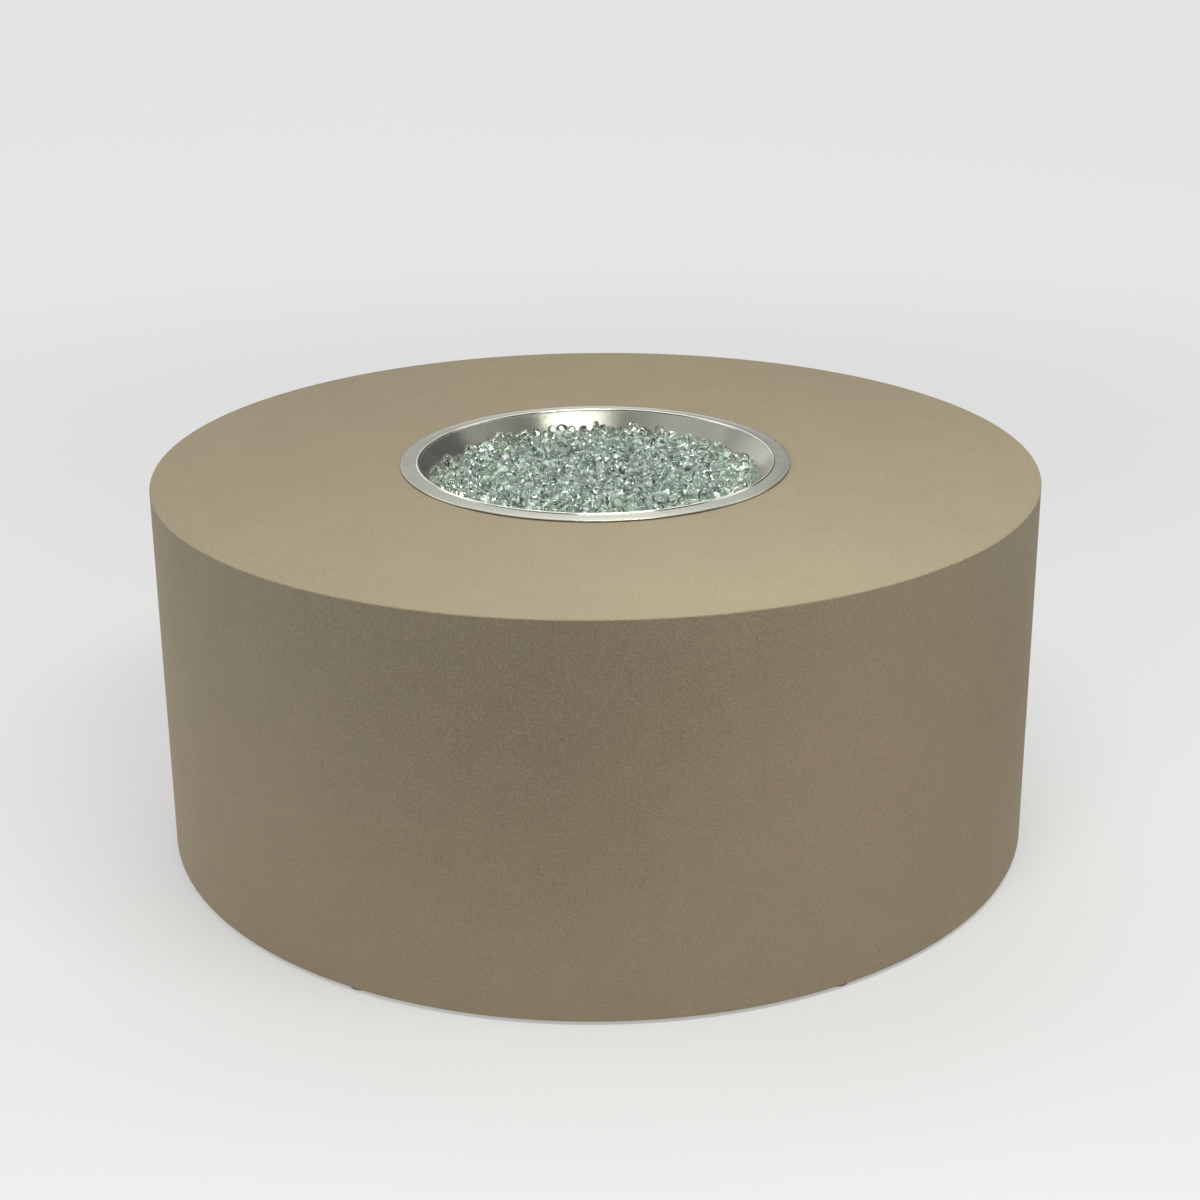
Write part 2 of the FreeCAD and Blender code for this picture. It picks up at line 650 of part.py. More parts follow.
# Burner: two rings on four spokes about a hub, welded tube with drilled ports
def burner_skin(name, shrink):
    """The burner's tubes as one solid, with every tube radius less by a rule."""
    pieces = []
    for part, ring, tube in (("Outer", "Sizes.outer_ring_radius", "Sizes.outer_tube_radius"),
                             ("Inner", "Sizes.inner_ring_radius", "Sizes.inner_tube_radius")):
        torus = doc.addObject("Part::Torus", f"{name}{part}")
        bind(torus, Radius1=ring, Radius2=f"{tube}{shrink}")
        pieces.append(place(torus, z=RING_LEVEL))
    for i in range(SPOKES):
        turn = FreeCAD.Rotation(FreeCAD.Vector(0, 0, 1), 360 / SPOKES * i).multiply(TOWARDS_X)
        pieces.append(cylinder(f"{name}Spoke{i + 1}", f"Sizes.spoke_radius{shrink}",
                               "Sizes.outer_ring_radius", z=RING_LEVEL, turn=turn))
    return pieces


hub = cylinder("Hub", "Sizes.hub_radius", HUB_HEIGHT, z=HUB_BOTTOM)
hub_bore = cylinder("HubBore", PIPE_HOLE, HUB_HEIGHT, z=HUB_BOTTOM)
burner_outside = fuse("BurnerOutside", burner_skin("Tube", "") + [hub])
ports = []
for count, ring, tube in ((OUTER_PORTS, "outer_ring_radius", "outer_tube_radius"),
                          (INNER_PORTS, "inner_ring_radius", "inner_tube_radius")):
    for i in range(count):
        angle = 2 * math.pi * (i + 0.5) / count
        ports.append(cylinder(f"Port{len(ports) + 1}", "Sizes.port_radius",
                              f"Sizes.{tube} + Sizes.burner_tube_wall",
                              x=f"Sizes.{ring} * {math.cos(angle):.6f}",
                              y=f"Sizes.{ring} * {math.sin(angle):.6f}", z=RING_LEVEL))
burner = cut("Burner", burner_outside,
             burner_skin("Bore", " - Sizes.burner_tube_wall") + [hub_bore] + ports)
keep(burner, "burner_ring")

# Plug in the hub's top, with a hexagonal socket
plug_top = f"({HUB_BOTTOM} + {HUB_HEIGHT})"
plug_blank = cylinder("PlugBlank", "Sizes.pipe_radius", "Sizes.hub_plug_length",
                      z=f"{plug_top} - Sizes.hub_plug_length")
plug_socket = doc.addObject("Part::Prism", "PlugSocket")
plug_socket.Polygon = 6
bind(plug_socket, Circumradius="Sizes.hub_plug_socket / sqrt(3)",
     Height="2 * Sizes.hub_plug_socket_depth")
place(plug_socket, z=f"{plug_top} - Sizes.hub_plug_socket_depth")
keep(cut("HubPlug", plug_blank, [plug_socket]), "hub_plug")

# Nipple through the pan's centre hole
nipple_top = f"({HUB_BOTTOM} + Sizes.nipple_hub_depth)"
keep(turned("SupplyNipple", [
    ("Sizes.pipe_bore", NIPPLE_BOTTOM),
    ("Sizes.pipe_radius", NIPPLE_BOTTOM),
    ("Sizes.pipe_radius", nipple_top),
    ("Sizes.pipe_bore", nipple_top),
]), "supply_nipple")


# Locknuts above and below the pan's floor, and a wide washer
def locknut(name, level):
    blank = hexagon(name, "Sizes.locknut_across", "Sizes.locknut_height", z=level)
    hole = cylinder(f"{name}Hole", PIPE_HOLE, "Sizes.locknut_height", z=level)
    return cut(name, blank, [hole])


washer_bottom = f"({PAN_UNDER} - Sizes.washer_thickness)"
keep(locknut("UpperLocknut", PAN_FLOOR), "upper_locknut")
keep(locknut("LowerLocknut", f"({washer_bottom} - Sizes.locknut_height)"), "lower_locknut")
keep(turned("PanWasher", [
    (PIPE_HOLE, washer_bottom),
    ("Sizes.washer_radius", washer_bottom),
    ("Sizes.washer_radius", PAN_UNDER),
    (PIPE_HOLE, PAN_UNDER),
]), "pan_washer")


# Adapter under the nipple: female half-inch thread above, male flare below
adapter_hex = hexagon("PanAdapter", "Sizes.adapter_across", "Sizes.adapter_hex_length",
                      z=ADAPTER_HEX_BOTTOM)
adapter_stub = cylinder("PanAdapterStub", "Sizes.flare_radius",
                        "Sizes.flare_length + Sizes.flare_nut_inset",
                        z=f"{ADAPTER_HEX_BOTTOM} - Sizes.flare_length")
adapter_port = cylinder("PanAdapterPort", PIPE_HOLE, "Sizes.pipe_engagement + Sizes.thread_gap",
                        z=f"{NIPPLE_BOTTOM} - Sizes.thread_gap")
adapter_way = cylinder("PanAdapterWay", "Sizes.flare_bore",
                       "Sizes.adapter_hex_length + Sizes.flare_length",
                       z=f"{ADAPTER_HEX_BOTTOM} - Sizes.flare_length")
adapter_solid = fuse("PanAdapterSolid", [adapter_hex, adapter_stub])
keep(cut("PanAdapter", adapter_solid, [adapter_port, adapter_way]), "pan_adapter")


def flare_nut(name):
    """A flare nut along Z with its mouth up, its origin at the end of the stub that it holds."""
    above = "(Sizes.flare_length - Sizes.flare_nut_inset)"
    below = f"(Sizes.flare_nut_length - {above})"
    blank = hexagon(name, "Sizes.flare_nut_across", "Sizes.flare_nut_length", z=f"-{below}")
    thread = cylinder(f"{name}Thread", "Sizes.flare_radius + Sizes.flare_fit",
                      f"{above} + Sizes.flex_seat_gap", z="-Sizes.flex_seat_gap")
    way = cylinder(f"{name}Way", "Sizes.flex_radius + Sizes.thread_gap",
                   "Sizes.flare_nut_length", z=f"-{below}")
    return cut(name, blank, [thread, way])


PAN_STUB_END = f"({ADAPTER_HEX_BOTTOM} - Sizes.flare_length)"
keep(place(flare_nut("PanFlareNut"), z=PAN_STUB_END), "pan_flare_nut")


# Key valve, drawn about its own centre with the stem along Z and the flow along X
def in_valve(thing, x=None, turn=None):
    """Moves a piece drawn about the valve's centre to the rear wall."""
    place(thing, x=x, y=VALVE_CENTRE, z="Sizes.valve_height",
          turn=STEM_OUTWARDS if turn is None else turn)
    return thing


reach = "Sizes.valve_reach"
neck_end = "(Sizes.valve_reach + Sizes.neck_length)"
barrel = cylinder("Barrel", "Sizes.body_radius",
                  "Sizes.body_inlet_length + Sizes.body_outlet_length",
                  x="-Sizes.body_inlet_length", turn=TOWARDS_X)
stem_boss = cylinder("StemBoss", "Sizes.stem_boss_radius", reach)
shoulder = cylinder("Shoulder", "Sizes.shoulder_radius", "Sizes.shoulder_thickness",
                    z=f"{reach} - Sizes.shoulder_thickness")
neck = cylinder("Neck", "Sizes.neck_radius", neck_end)
inlet_port = cylinder("InletPort", PIPE_HOLE, "Sizes.pipe_engagement",
                      x="-Sizes.body_inlet_length", turn=TOWARDS_X)
through_way = cylinder("ThroughWay", "Sizes.passage_radius",
                       "Sizes.body_inlet_length + Sizes.body_outlet_length",
                       x="-Sizes.body_inlet_length", turn=TOWARDS_X)
seat_pocket = cylinder("SeatPocket", "Sizes.seat_outer_radius", "2 * Sizes.seat_far",
                       x="-Sizes.seat_far", turn=TOWARDS_X)
ball_room = cylinder("BallRoom", "Sizes.ball_cavity_radius",
                     "Sizes.ball_cavity_half + Sizes.body_outlet_length",
                     x="-Sizes.ball_cavity_half", turn=TOWARDS_X)
cap_bore = cylinder("CapBore", "Sizes.cap_spigot_radius + Sizes.thread_gap",
                    "Sizes.body_outlet_length - Sizes.ball_cavity_half",
                    x="Sizes.ball_cavity_half", turn=TOWARDS_X)
collar_level = "(Sizes.ball_radius + Sizes.stem_collar_rise)"
collar_pocket = cylinder("CollarPocket", "Sizes.stem_collar_radius + Sizes.stem_fit",
                         f"{collar_level} + Sizes.stem_collar_height + Sizes.stem_fit")
stem_hole = cylinder("StemHole", "Sizes.stem_radius + Sizes.stem_fit", neck_end)
packing_bore = cylinder("PackingBore", "Sizes.packing_radius", neck_end, z="Sizes.packing_level")
well_floor = "(Sizes.packing_level + Sizes.packing_height)"
key_well = cylinder("KeyWell", "Sizes.key_well_radius", neck_end, z=well_floor)
valve_body = cut("ValveBody", fuse("ValveSolid", [barrel, stem_boss, shoulder, neck]), [
    inlet_port, through_way, seat_pocket, ball_room, cap_bore,
    collar_pocket, stem_hole, packing_bore, key_well])
keep(in_valve(valve_body), "valve_body")

# End cap that screws into the body and holds the ball between its seats
cap_hexagon = hexagon("EndCap", "Sizes.cap_across", "Sizes.cap_length", z=CAP_FACE)
cap_spigot = cylinder("CapSpigot", "Sizes.cap_spigot_radius",
                      "Sizes.body_outlet_length - Sizes.ball_cavity_half",
                      z="Sizes.ball_cavity_half + Sizes.thread_gap")
cap_port = cylinder("CapPort", PIPE_HOLE, "Sizes.pipe_engagement",
                    z=f"{CAP_END} - Sizes.pipe_engagement")
cap_seat_pocket = cylinder("CapSeatPocket", "Sizes.seat_outer_radius", "Sizes.seat_far")
cap_way = cylinder("CapWay", "Sizes.passage_radius", CAP_END)
end_cap = cut("ValveEndCap", fuse("CapSolid", [cap_hexagon, cap_spigot]),
              [cap_port, cap_seat_pocket, cap_way])
keep(in_valve(end_cap, turn=TOWARDS_X), "valve_end_cap")

# Seat rings, hollowed to the ball
ball_space = doc.addObject("Part::Sphere", "BallSpace")
bind(ball_space, Radius="Sizes.ball_radius + Sizes.ball_fit")
rings = []
for name, turn in (("OutletSeat", TOWARDS_X), ("InletSeat", AWAY_FROM_X)):
    ring = cylinder(f"{name}Ring", "Sizes.seat_outer_radius", "Sizes.seat_far - Sizes.seat_near",
                    z="Sizes.seat_near")
    way = cylinder(f"{name}Way", "Sizes.seat_inner_radius", "Sizes.seat_far")
    rings.append(place(cut(name, ring, [way, ball_space]), turn=turn))
seat_group = doc.addObject("Part::Compound", "ValveSeats")
seat_group.Links = rings
keep(in_valve(seat_group, turn=UPRIGHT), "valve_seats")

# Ball: its bore lies across the flow when the valve is shut, and the stem's tongue fits its slot
ball = doc.addObject("Part::Sphere", "BallSphere")
bind(ball, Radius="Sizes.ball_radius")
ball_bore = cylinder("BallBore", "Sizes.ball_bore", "2 * Sizes.ball_radius",
                     y="Sizes.ball_radius", turn=FreeCAD.Rotation(FreeCAD.Vector(1, 0, 0), 90))
slot_width = "(Sizes.stem_tongue_width + 2 * Sizes.tongue_fit)"
slot_floor = f"({collar_level} - Sizes.stem_tongue_depth - Sizes.tongue_fit)"
ball_slot = box("BallSlot", slot_width, "2 * Sizes.ball_radius", "Sizes.ball_radius",
                x=f"-{slot_width} / 2", y="-Sizes.ball_radius", z=slot_floor)
keep(in_valve(cut("ValveBall", ball, [ball_bore, ball_slot])), "valve_ball")

# Stem: tongue, collar, round shank and square end
stem_top = "(Sizes.stem_round_end + Sizes.stem_square_length)"
tongue = box("Tongue", "Sizes.stem_tongue_width", "Sizes.stem_tongue_length",
             "Sizes.stem_tongue_depth + Sizes.stem_collar_height / 2",
             x="-Sizes.stem_tongue_width / 2", y="-Sizes.stem_tongue_length / 2",
             z=f"{collar_level} - Sizes.stem_tongue_depth")
collar = cylinder("Collar", "Sizes.stem_collar_radius", "Sizes.stem_collar_height", z=collar_level)
shank = cylinder("StemShank", "Sizes.stem_radius", f"Sizes.stem_round_end - {collar_level}",
                 z=collar_level)
square = box("StemSquare", "Sizes.stem_square", "Sizes.stem_square",
             f"{stem_top} - {collar_level}", x="-Sizes.stem_square / 2",
             y="-Sizes.stem_square / 2", z=collar_level)
square_round = cylinder("SquareRound", "Sizes.stem_radius", stem_top)
stem = fuse("ValveStem", [tongue, collar, shank, common("SquareEnd", square, square_round)])
keep(in_valve(stem), "valve_stem")

# Packing ring and the slotted gland nut that presses it
keep(in_valve(turned("StemPacking", [
    ("Sizes.stem_radius + Sizes.stem_fit", "Sizes.packing_level"),
    ("Sizes.packing_radius", "Sizes.packing_level"),
    ("Sizes.packing_radius", well_floor),
    ("Sizes.stem_radius + Sizes.stem_fit", well_floor),
])), "stem_packing")
gland_blank = cylinder("GlandBlank", "Sizes.key_well_radius - Sizes.thread_gap",
                       "Sizes.gland_height", z=well_floor)
gland_hole = cylinder("GlandHole", "Sizes.stem_radius + Sizes.stem_fit",
                      "Sizes.gland_height", z=well_floor)
gland_slot = box("GlandSlot", "2 * Sizes.key_well_radius", "Sizes.gland_slot_width",
                 "Sizes.gland_height", x="-Sizes.key_well_radius",
                 y="-Sizes.gland_slot_width / 2",
                 z=f"{well_floor} + Sizes.gland_height - Sizes.gland_slot_depth")
keep(in_valve(cut("GlandNut", gland_blank, [gland_hole, gland_slot])), "gland_nut")

# Escutcheon: its sleeve screws over the valve's neck and clamps the wall
seat_level = f"({KEY_SEAT} - {VALVE_CENTRE})"
sleeve_bore = "(Sizes.neck_radius + Sizes.thread_gap)"
keep(in_valve(turned("Escutcheon", [
    (sleeve_bore, f"{seat_level} - Sizes.sleeve_length"),
    ("Sizes.sleeve_radius", f"{seat_level} - Sizes.sleeve_length"),
    ("Sizes.sleeve_radius", seat_level),
    ("Sizes.escutcheon_radius", seat_level),
    ("Sizes.escutcheon_radius", f"{seat_level} + Sizes.escutcheon_rim"),
    ("Sizes.sleeve_radius", f"{seat_level} + Sizes.escutcheon_height"),
    ("Sizes.escutcheon_bore", f"{seat_level} + Sizes.escutcheon_height"),
    ("Sizes.escutcheon_bore", f"{seat_level} - Sizes.sleeve_thread_end"),
    (sleeve_bore, f"{seat_level} - Sizes.sleeve_thread_end"),
])), "escutcheon")

# Key: socket head, neck and a flat oval bow
key = body("GasKey")
key_tip = "(Sizes.stem_round_end + Sizes.key_lift)"
key_end = f"({key_tip} + Sizes.key_length)"
bow_centre = f"({key_end} - Sizes.key_bow_height / 2)"
key_outline = outline(key, "KeyOutline", "XZ_Plane", [
    (None, key_tip),
    ("Sizes.key_shank_radius", key_tip),
    ("Sizes.key_shank_radius", f"{key_tip} + Sizes.key_head_length"),
    ("Sizes.key_neck_radius",
     f"{key_tip} + Sizes.key_head_length + Sizes.key_shank_radius - Sizes.key_neck_radius"),
    ("Sizes.key_neck_radius", f"{key_end} - Sizes.key_bow_height + Sizes.key_bow_rail / 2"),
    (None, f"{key_end} - Sizes.key_bow_height + Sizes.key_bow_rail / 2"),
])
revolve(key, "KeyTurned", key_outline)


def oval(owner, name, half_width, half_height, centre):
    """An ellipse about a point on the sketch's upright axis, wider than it is high."""
    drawing = sketch(owner, name, "YZ_Plane")
    drawing.addGeometry(Part.Ellipse(FreeCAD.Vector(0, 10, 0), 3.0, 2.0))
    drawing.exposeInternalGeometry(0)
    fix_point(drawing, 0, 3, None, centre)
    wide = drawing.addConstraint(Sketcher.Constraint("DistanceX", 1, 2, 1, 1, 6.0))
    drawing.addConstraint(Sketcher.Constraint("Horizontal", 1))
    high = drawing.addConstraint(Sketcher.Constraint("Distance", 2, 1, 2, 2, 4.0))
    drawing.setExpression(f"Constraints[{wide}]", f"2 * ({half_width})")
    drawing.setExpression(f"Constraints[{high}]", f"2 * ({half_height})")
    return drawing


bow_outside = oval(key, "BowOutside", "Sizes.key_bow_width / 2", "Sizes.key_bow_height / 2",
                   bow_centre)
extrude(key, "Bow", bow_outside, "PartDesign::Pad", "Sizes.key_bow_thickness", both_ways=True)
bow_inside = oval(key, "BowInside", "Sizes.key_bow_width / 2 - Sizes.key_bow_rail",
                  "Sizes.key_bow_height / 2 - Sizes.key_bow_rail", bow_centre)
extrude(key, "BowHole", bow_inside, "PartDesign::Pocket", "2 * Sizes.key_shank_radius",
        both_ways=True)
half_socket = "(Sizes.stem_square / 2 + Sizes.key_square_fit)"
socket = outline(key, "SocketSquare", "XY_Plane", [
    (f"-{half_socket}", f"-{half_socket}"),
    (half_socket, f"-{half_socket}"),
    (half_socket, half_socket),
    (f"-{half_socket}", half_socket),
], shift=f"{key_tip} + Sizes.key_socket_depth")
extrude(key, "Socket", socket, "PartDesign::Pocket", "2 * Sizes.key_socket_depth")
keep(in_valve(key), "gas_key")


# Both ports take a male half-inch thread. Each fitting is drawn along Z, its origin at the
# port's face.
def port_thread(name):
    return cylinder(f"{name}Thread", "Sizes.pipe_radius",
                    "Sizes.pipe_engagement - Sizes.thread_gap",
                    z="-(Sizes.pipe_engagement - Sizes.thread_gap)")


# Outlet adapter: thread, hexagon and male flare in one line
outlet_grip = hexagon("OutletAdapter", "Sizes.male_adapter_across", "Sizes.male_adapter_hex")
outlet_stub = cylinder("OutletStub", "Sizes.flare_radius",
                       "Sizes.male_adapter_hex + Sizes.flare_length")
outlet_way = cylinder("OutletWay", "Sizes.flare_bore",
                      "Sizes.pipe_engagement + Sizes.male_adapter_hex + Sizes.flare_length",
                      z="-Sizes.pipe_engagement")
outlet_solid = fuse("OutletSolid", [port_thread("Outlet"), outlet_grip, outlet_stub])
keep(in_valve(cut("OutletAdapter", outlet_solid, [outlet_way]), x=CAP_END, turn=TOWARDS_X),
     "outlet_adapter")

# Inlet elbow: a forged corner whose male flare points straight down, to the supply hose
elbow_arm = cylinder("ElbowArm", "Sizes.elbow_radius", "Sizes.elbow_reach")
elbow_corner = doc.addObject("Part::Sphere", "ElbowCorner")
bind(elbow_corner, Radius="Sizes.elbow_radius + Sizes.elbow_bulge")
place(elbow_corner, z="Sizes.elbow_reach")
elbow_leg = cylinder("ElbowLeg", "Sizes.elbow_radius", "Sizes.elbow_drop",
                     z="Sizes.elbow_reach", turn=AWAY_FROM_X)
elbow_stub = cylinder("ElbowStub", "Sizes.flare_radius", "Sizes.elbow_drop + Sizes.flare_length",
                      z="Sizes.elbow_reach", turn=AWAY_FROM_X)
elbow_way = cylinder("ElbowWay", "Sizes.flare_bore", "Sizes.pipe_engagement + Sizes.elbow_reach",
                     z="-Sizes.pipe_engagement")
elbow_down = cylinder("ElbowDown", "Sizes.flare_bore", "Sizes.elbow_drop + Sizes.flare_length",
                      z="Sizes.elbow_reach", turn=AWAY_FROM_X)
elbow_solid = fuse("ElbowSolid", [port_thread("Inlet"), elbow_arm, elbow_corner, elbow_leg,
                                  elbow_stub])
keep(in_valve(cut("InletElbow", elbow_solid, [elbow_way, elbow_down]),
              x="-Sizes.body_inlet_length", turn=AWAY_FROM_X), "inlet_elbow")
OUTLET_STUB_END = f"({CAP_END} + Sizes.male_adapter_hex + Sizes.flare_length)"
keep(in_valve(flare_nut("ValveFlareNut"), x=OUTLET_STUB_END, turn=AWAY_FROM_X), "valve_flare_nut")


# Flexible connector: straight runs joined by tangent arcs, from the pan's adapter to the valve
def tube_path(points, share=0.45):
    """A wire of straight runs and arcs, and the radius of each arc."""
    edges = []
    radii = []
    start = points[0]
    for before, corner, after in zip(points, points[1:], points[2:]):
        incoming = corner - before
        outgoing = after - corner
        shorter = min(incoming.Length, outgoing.Length)
        half_turn = incoming.getAngle(outgoing) / 2
        back = share * shorter
        radii.append(back / math.tan(half_turn))
        into = FreeCAD.Vector(incoming).normalize()
        out = FreeCAD.Vector(outgoing).normalize()
        arc_start = corner - into * back
        arc_end = corner + out * back
        inward = (out - into).normalize()
        rise = back / math.sin(half_turn) * math.cos(half_turn)
        middle = corner + inward * (math.hypot(rise, back) - rise)
        edges.append(Part.makeLine(start, arc_start))
        edges.append(Part.Arc(arc_start, middle, arc_end).toShape())
        start = arc_end
    edges.append(Part.makeLine(start, points[-1]))
    return Part.Wire(edges), radii


pan_end = (value("table_height") - value("pan_depth") - value("pan_sheet")
           - value("nipple_below_pan") + value("pipe_engagement")
           - value("adapter_hex_length") - value("flare_length") - value("flex_seat_gap"))
valve_y = (value("drum_radius") - value("wall") - value("boss_height") - value("valve_reach"))
valve_x = (value("body_outlet_length") + value("cap_length") + value("male_adapter_hex")
           + value("flare_length") + value("flex_seat_gap"))
valve_z = value("valve_height")
flex_points = [
    FreeCAD.Vector(0, 0, pan_end),
    FreeCAD.Vector(0, 0, pan_end - value("flex_straight_drop")),
    FreeCAD.Vector(value("flex_belly_across"), value("flex_belly_back"),
                   pan_end - value("flex_belly_drop")),
    FreeCAD.Vector(value("flex_rise_across"), valve_y - value("flex_rise_short_of_valve"),
                   valve_z - value("flex_rise_below_valve")),
    FreeCAD.Vector(value("flex_turn_across"), valve_y, valve_z),
    FreeCAD.Vector(valve_x, valve_y, valve_z),
]
path, bend_radii = tube_path(flex_points)


def swept(radius):
    """A round tube's solid along the connector's path."""
    rim = Part.Wire([Part.makeCircle(radius, flex_points[0], FreeCAD.Vector(0, 0, -1))])
    return path.makePipeShell([rim], True, False)


flex = doc.addObject("Part::Feature", "FlexLine")
flex.Shape = swept(value("flex_radius")).cut(swept(value("flex_bore")))
keep(flex, "flex_line")
section = math.pi * (value("flex_radius") ** 2 - value("flex_bore") ** 2)
print("flex line: length", round(path.Length, 1), "bend radii", [round(r, 1) for r in bend_radii],
      "volume over section and length", round(flex.Shape.Volume / (section * path.Length), 5))

# Fire glass: the pan's filling, hollowed over the burner so that it lifts straight off
gap = "Sizes.glass_gap"
splay_gap = f"({gap} * sqrt(1 + {PAN_SPLAY} ^ 2))"
edge_level = f"({TOP} - Sizes.glass_edge_drop)"
half_round = "(Sizes.pan_floor_round / 2)"
glass_bed = turned("GlassBed", [
    (None, f"{PAN_FLOOR} + {gap}"),
    (f"Sizes.pan_floor_radius - {splay_gap} - {half_round}", f"{PAN_FLOOR} + {gap}"),
    (f"Sizes.pan_floor_radius - {splay_gap} + {half_round} * {PAN_SPLAY}",
     f"{PAN_FLOOR} + {half_round}"),
    (f"Sizes.pan_mouth_radius - Sizes.glass_edge_drop * {PAN_SPLAY} - {splay_gap}", edge_level),
    (None, f"{TOP} - Sizes.glass_crown_drop"),
])
room = "Sizes.glass_burner_gap"
bed_tools = []
for part, ring, tube in (("Outer", "Sizes.outer_ring_radius", "Sizes.outer_tube_radius"),
                         ("Inner", "Sizes.inner_ring_radius", "Sizes.inner_tube_radius")):
    crest = doc.addObject("Part::Torus", f"Room{part}")
    bind(crest, Radius1=ring, Radius2=f"{tube} + {room}")
    bed_tools.append(place(crest, z=RING_LEVEL))
    outside = cylinder(f"RoomOutside{part}", f"{ring} + {tube} + {room}", "Sizes.burner_rise",
                       z=PAN_FLOOR)
    inside = cylinder(f"RoomInside{part}", f"{ring} - {tube} - {room}", "Sizes.burner_rise",
                      z=PAN_FLOOR)
    bed_tools.append(cut(f"RoomBelow{part}", outside, [inside]))
for i in range(SPOKES):
    turn = FreeCAD.Rotation(FreeCAD.Vector(0, 0, 1), 360 / SPOKES * i)
    bed_tools.append(cylinder(f"RoomSpoke{i + 1}", f"Sizes.spoke_radius + {room}",
                              "Sizes.outer_ring_radius", z=RING_LEVEL,
                              turn=turn.multiply(TOWARDS_X)))
half_room = f"(Sizes.spoke_radius + {room})"
for i, turn in enumerate((UPRIGHT, FreeCAD.Rotation(FreeCAD.Vector(0, 0, 1), 90))):
    long_side = "2 * Sizes.outer_ring_radius"
    short_side = f"2 * {half_room}"
    sides = (long_side, short_side) if i == 0 else (short_side, long_side)
    bed_tools.append(box(f"RoomCross{i + 1}", sides[0], sides[1], "Sizes.burner_rise",
                         x=f"-({sides[0]}) / 2", y=f"-({sides[1]}) / 2", z=PAN_FLOOR))
bed_tools.append(cylinder("RoomHub", f"Sizes.locknut_across / sqrt(3) + {room}",
                          f"Sizes.locknut_height + {HUB_HEIGHT} + {room}", z=PAN_FLOOR))
keep(cut("FireGlass", glass_bed, bed_tools), "fire_glass")

doc.recompute()
for thing in doc.Objects:
    if {"Invalid", "Error"} & set(thing.State):
        raise RuntimeError(f"{thing.Name} failed: {thing.State}")
for thing in sub_parts:
    if thing.Shape.isNull() or not thing.Shape.isValid() or thing.Shape.Volume <= 0:
        raise RuntimeError(f"{thing.Label} has no sound solid")

os.makedirs("parts", exist_ok=True)
for thing in sub_parts:
    thing.Shape.exportStep(f"parts/{thing.Label}.step")
    print(f"{thing.Label}: {len(thing.Shape.Solids)} solid, {thing.Shape.Volume / 1000:.2f} cm3")
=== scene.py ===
import math

import bpy
import bmesh
import numpy as np
from mathutils import Matrix, Vector


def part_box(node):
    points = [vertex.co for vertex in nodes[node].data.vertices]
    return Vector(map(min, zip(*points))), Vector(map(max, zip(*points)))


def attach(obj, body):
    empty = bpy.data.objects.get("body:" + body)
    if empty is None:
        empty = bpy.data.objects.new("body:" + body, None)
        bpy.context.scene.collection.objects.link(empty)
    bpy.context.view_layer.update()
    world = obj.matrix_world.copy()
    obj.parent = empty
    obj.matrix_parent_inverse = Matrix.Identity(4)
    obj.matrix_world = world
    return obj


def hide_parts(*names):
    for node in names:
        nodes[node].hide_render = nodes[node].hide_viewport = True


# A gas fire pit table: a cast concrete drum, a spun stainless pan that drops into its top, a
# ring burner under a bed of fire glass, and the valve and connector that feed it. Metres, Z up,
# the drum's axis is the Z axis, the front is -Y and the key valve is at the rear.

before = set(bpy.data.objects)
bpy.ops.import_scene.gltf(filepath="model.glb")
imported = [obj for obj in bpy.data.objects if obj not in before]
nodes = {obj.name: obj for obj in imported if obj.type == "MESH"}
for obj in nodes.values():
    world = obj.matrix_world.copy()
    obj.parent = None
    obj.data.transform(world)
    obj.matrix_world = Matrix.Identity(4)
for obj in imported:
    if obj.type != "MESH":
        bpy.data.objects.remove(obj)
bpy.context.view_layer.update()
scene = bpy.context.scene
scene.view_settings.view_transform = "Standard"


# Floor and studio
# A matt white floor that runs far past the picture and is lit from below as a cove is, so it
# stays evenly pale, soft lights over and beside the table, and a surround with pale patches for
# the steel and the glass to mirror. Past the floor's rim the camera sees the floor's own tone.
FLOOR_RADIUS = 60.0
FLOOR_SIDES = 48
FLOOR_WHITE = (0.40, 0.40, 0.40, 1.0)
PURE_WHITE = (1.0, 1.0, 1.0, 1.0)
FLOOR_GLOW = (0.375, 0.58)
GLOW_GROWS = (0.8, 4.0)
SKY_SEEN = 0.775
PALE_PATCHES = {
    # name: bearing clockwise from the rear, rise, strength, tightness
    "low_rear_left": (-45.0, 12.0, 0.93, 12.0),
    "mid_rear": (0.0, 35.0, 0.76, 12.0),
    "high_rear": (0.0, 58.0, 2.00, 12.0),
    "high_left": (-100.0, 55.0, 0.71, 12.0),
    "high_right": (100.0, 55.0, 0.18, 12.0),
    "high_right_spot": (79.0, 52.0, 0.20, 40.0),
    "rear_strip": (12.0, 22.0, 0.13, 40.0),
    "low_strip": (-21.0, 8.0, 0.50, 40.0),
}


def dress(tree, node, inputs):
    """Links or sets the inputs of a node that are named."""
    for name, source in inputs.items():
        if isinstance(source, bpy.types.NodeSocket):
            tree.links.new(source, node.inputs[name])
        else:
            node.inputs[name].default_value = source


def add(tree, kind, inputs=None, **settings):
    """Adds a node, sets its options and dresses it."""
    node = tree.nodes.new(kind)
    for name, setting in settings.items():
        setattr(node, name, setting)
    dress(tree, node, inputs or {})
    return node


def reckon(tree, operation, first, second=0.0):
    """One step of arithmetic on values."""
    return add(tree, "ShaderNodeMath", {0: first, 1: second}, operation=operation).outputs[0]


def own_place(tree):
    """Coordinates in the piece's own frame."""
    return add(tree, "ShaderNodeTexCoord").outputs["Object"]


def new_finish(name):
    """A new material, its node tree and its shader."""
    material = bpy.data.materials.new(name)
    material.use_nodes = True
    return material, material.node_tree, material.node_tree.nodes["Principled BSDF"]


def show(mesh, name):
    """Puts a finished mesh into the scene as one object at the origin."""
    piece = bpy.data.objects.new(name, mesh)
    scene.collection.objects.link(piece)
    return piece


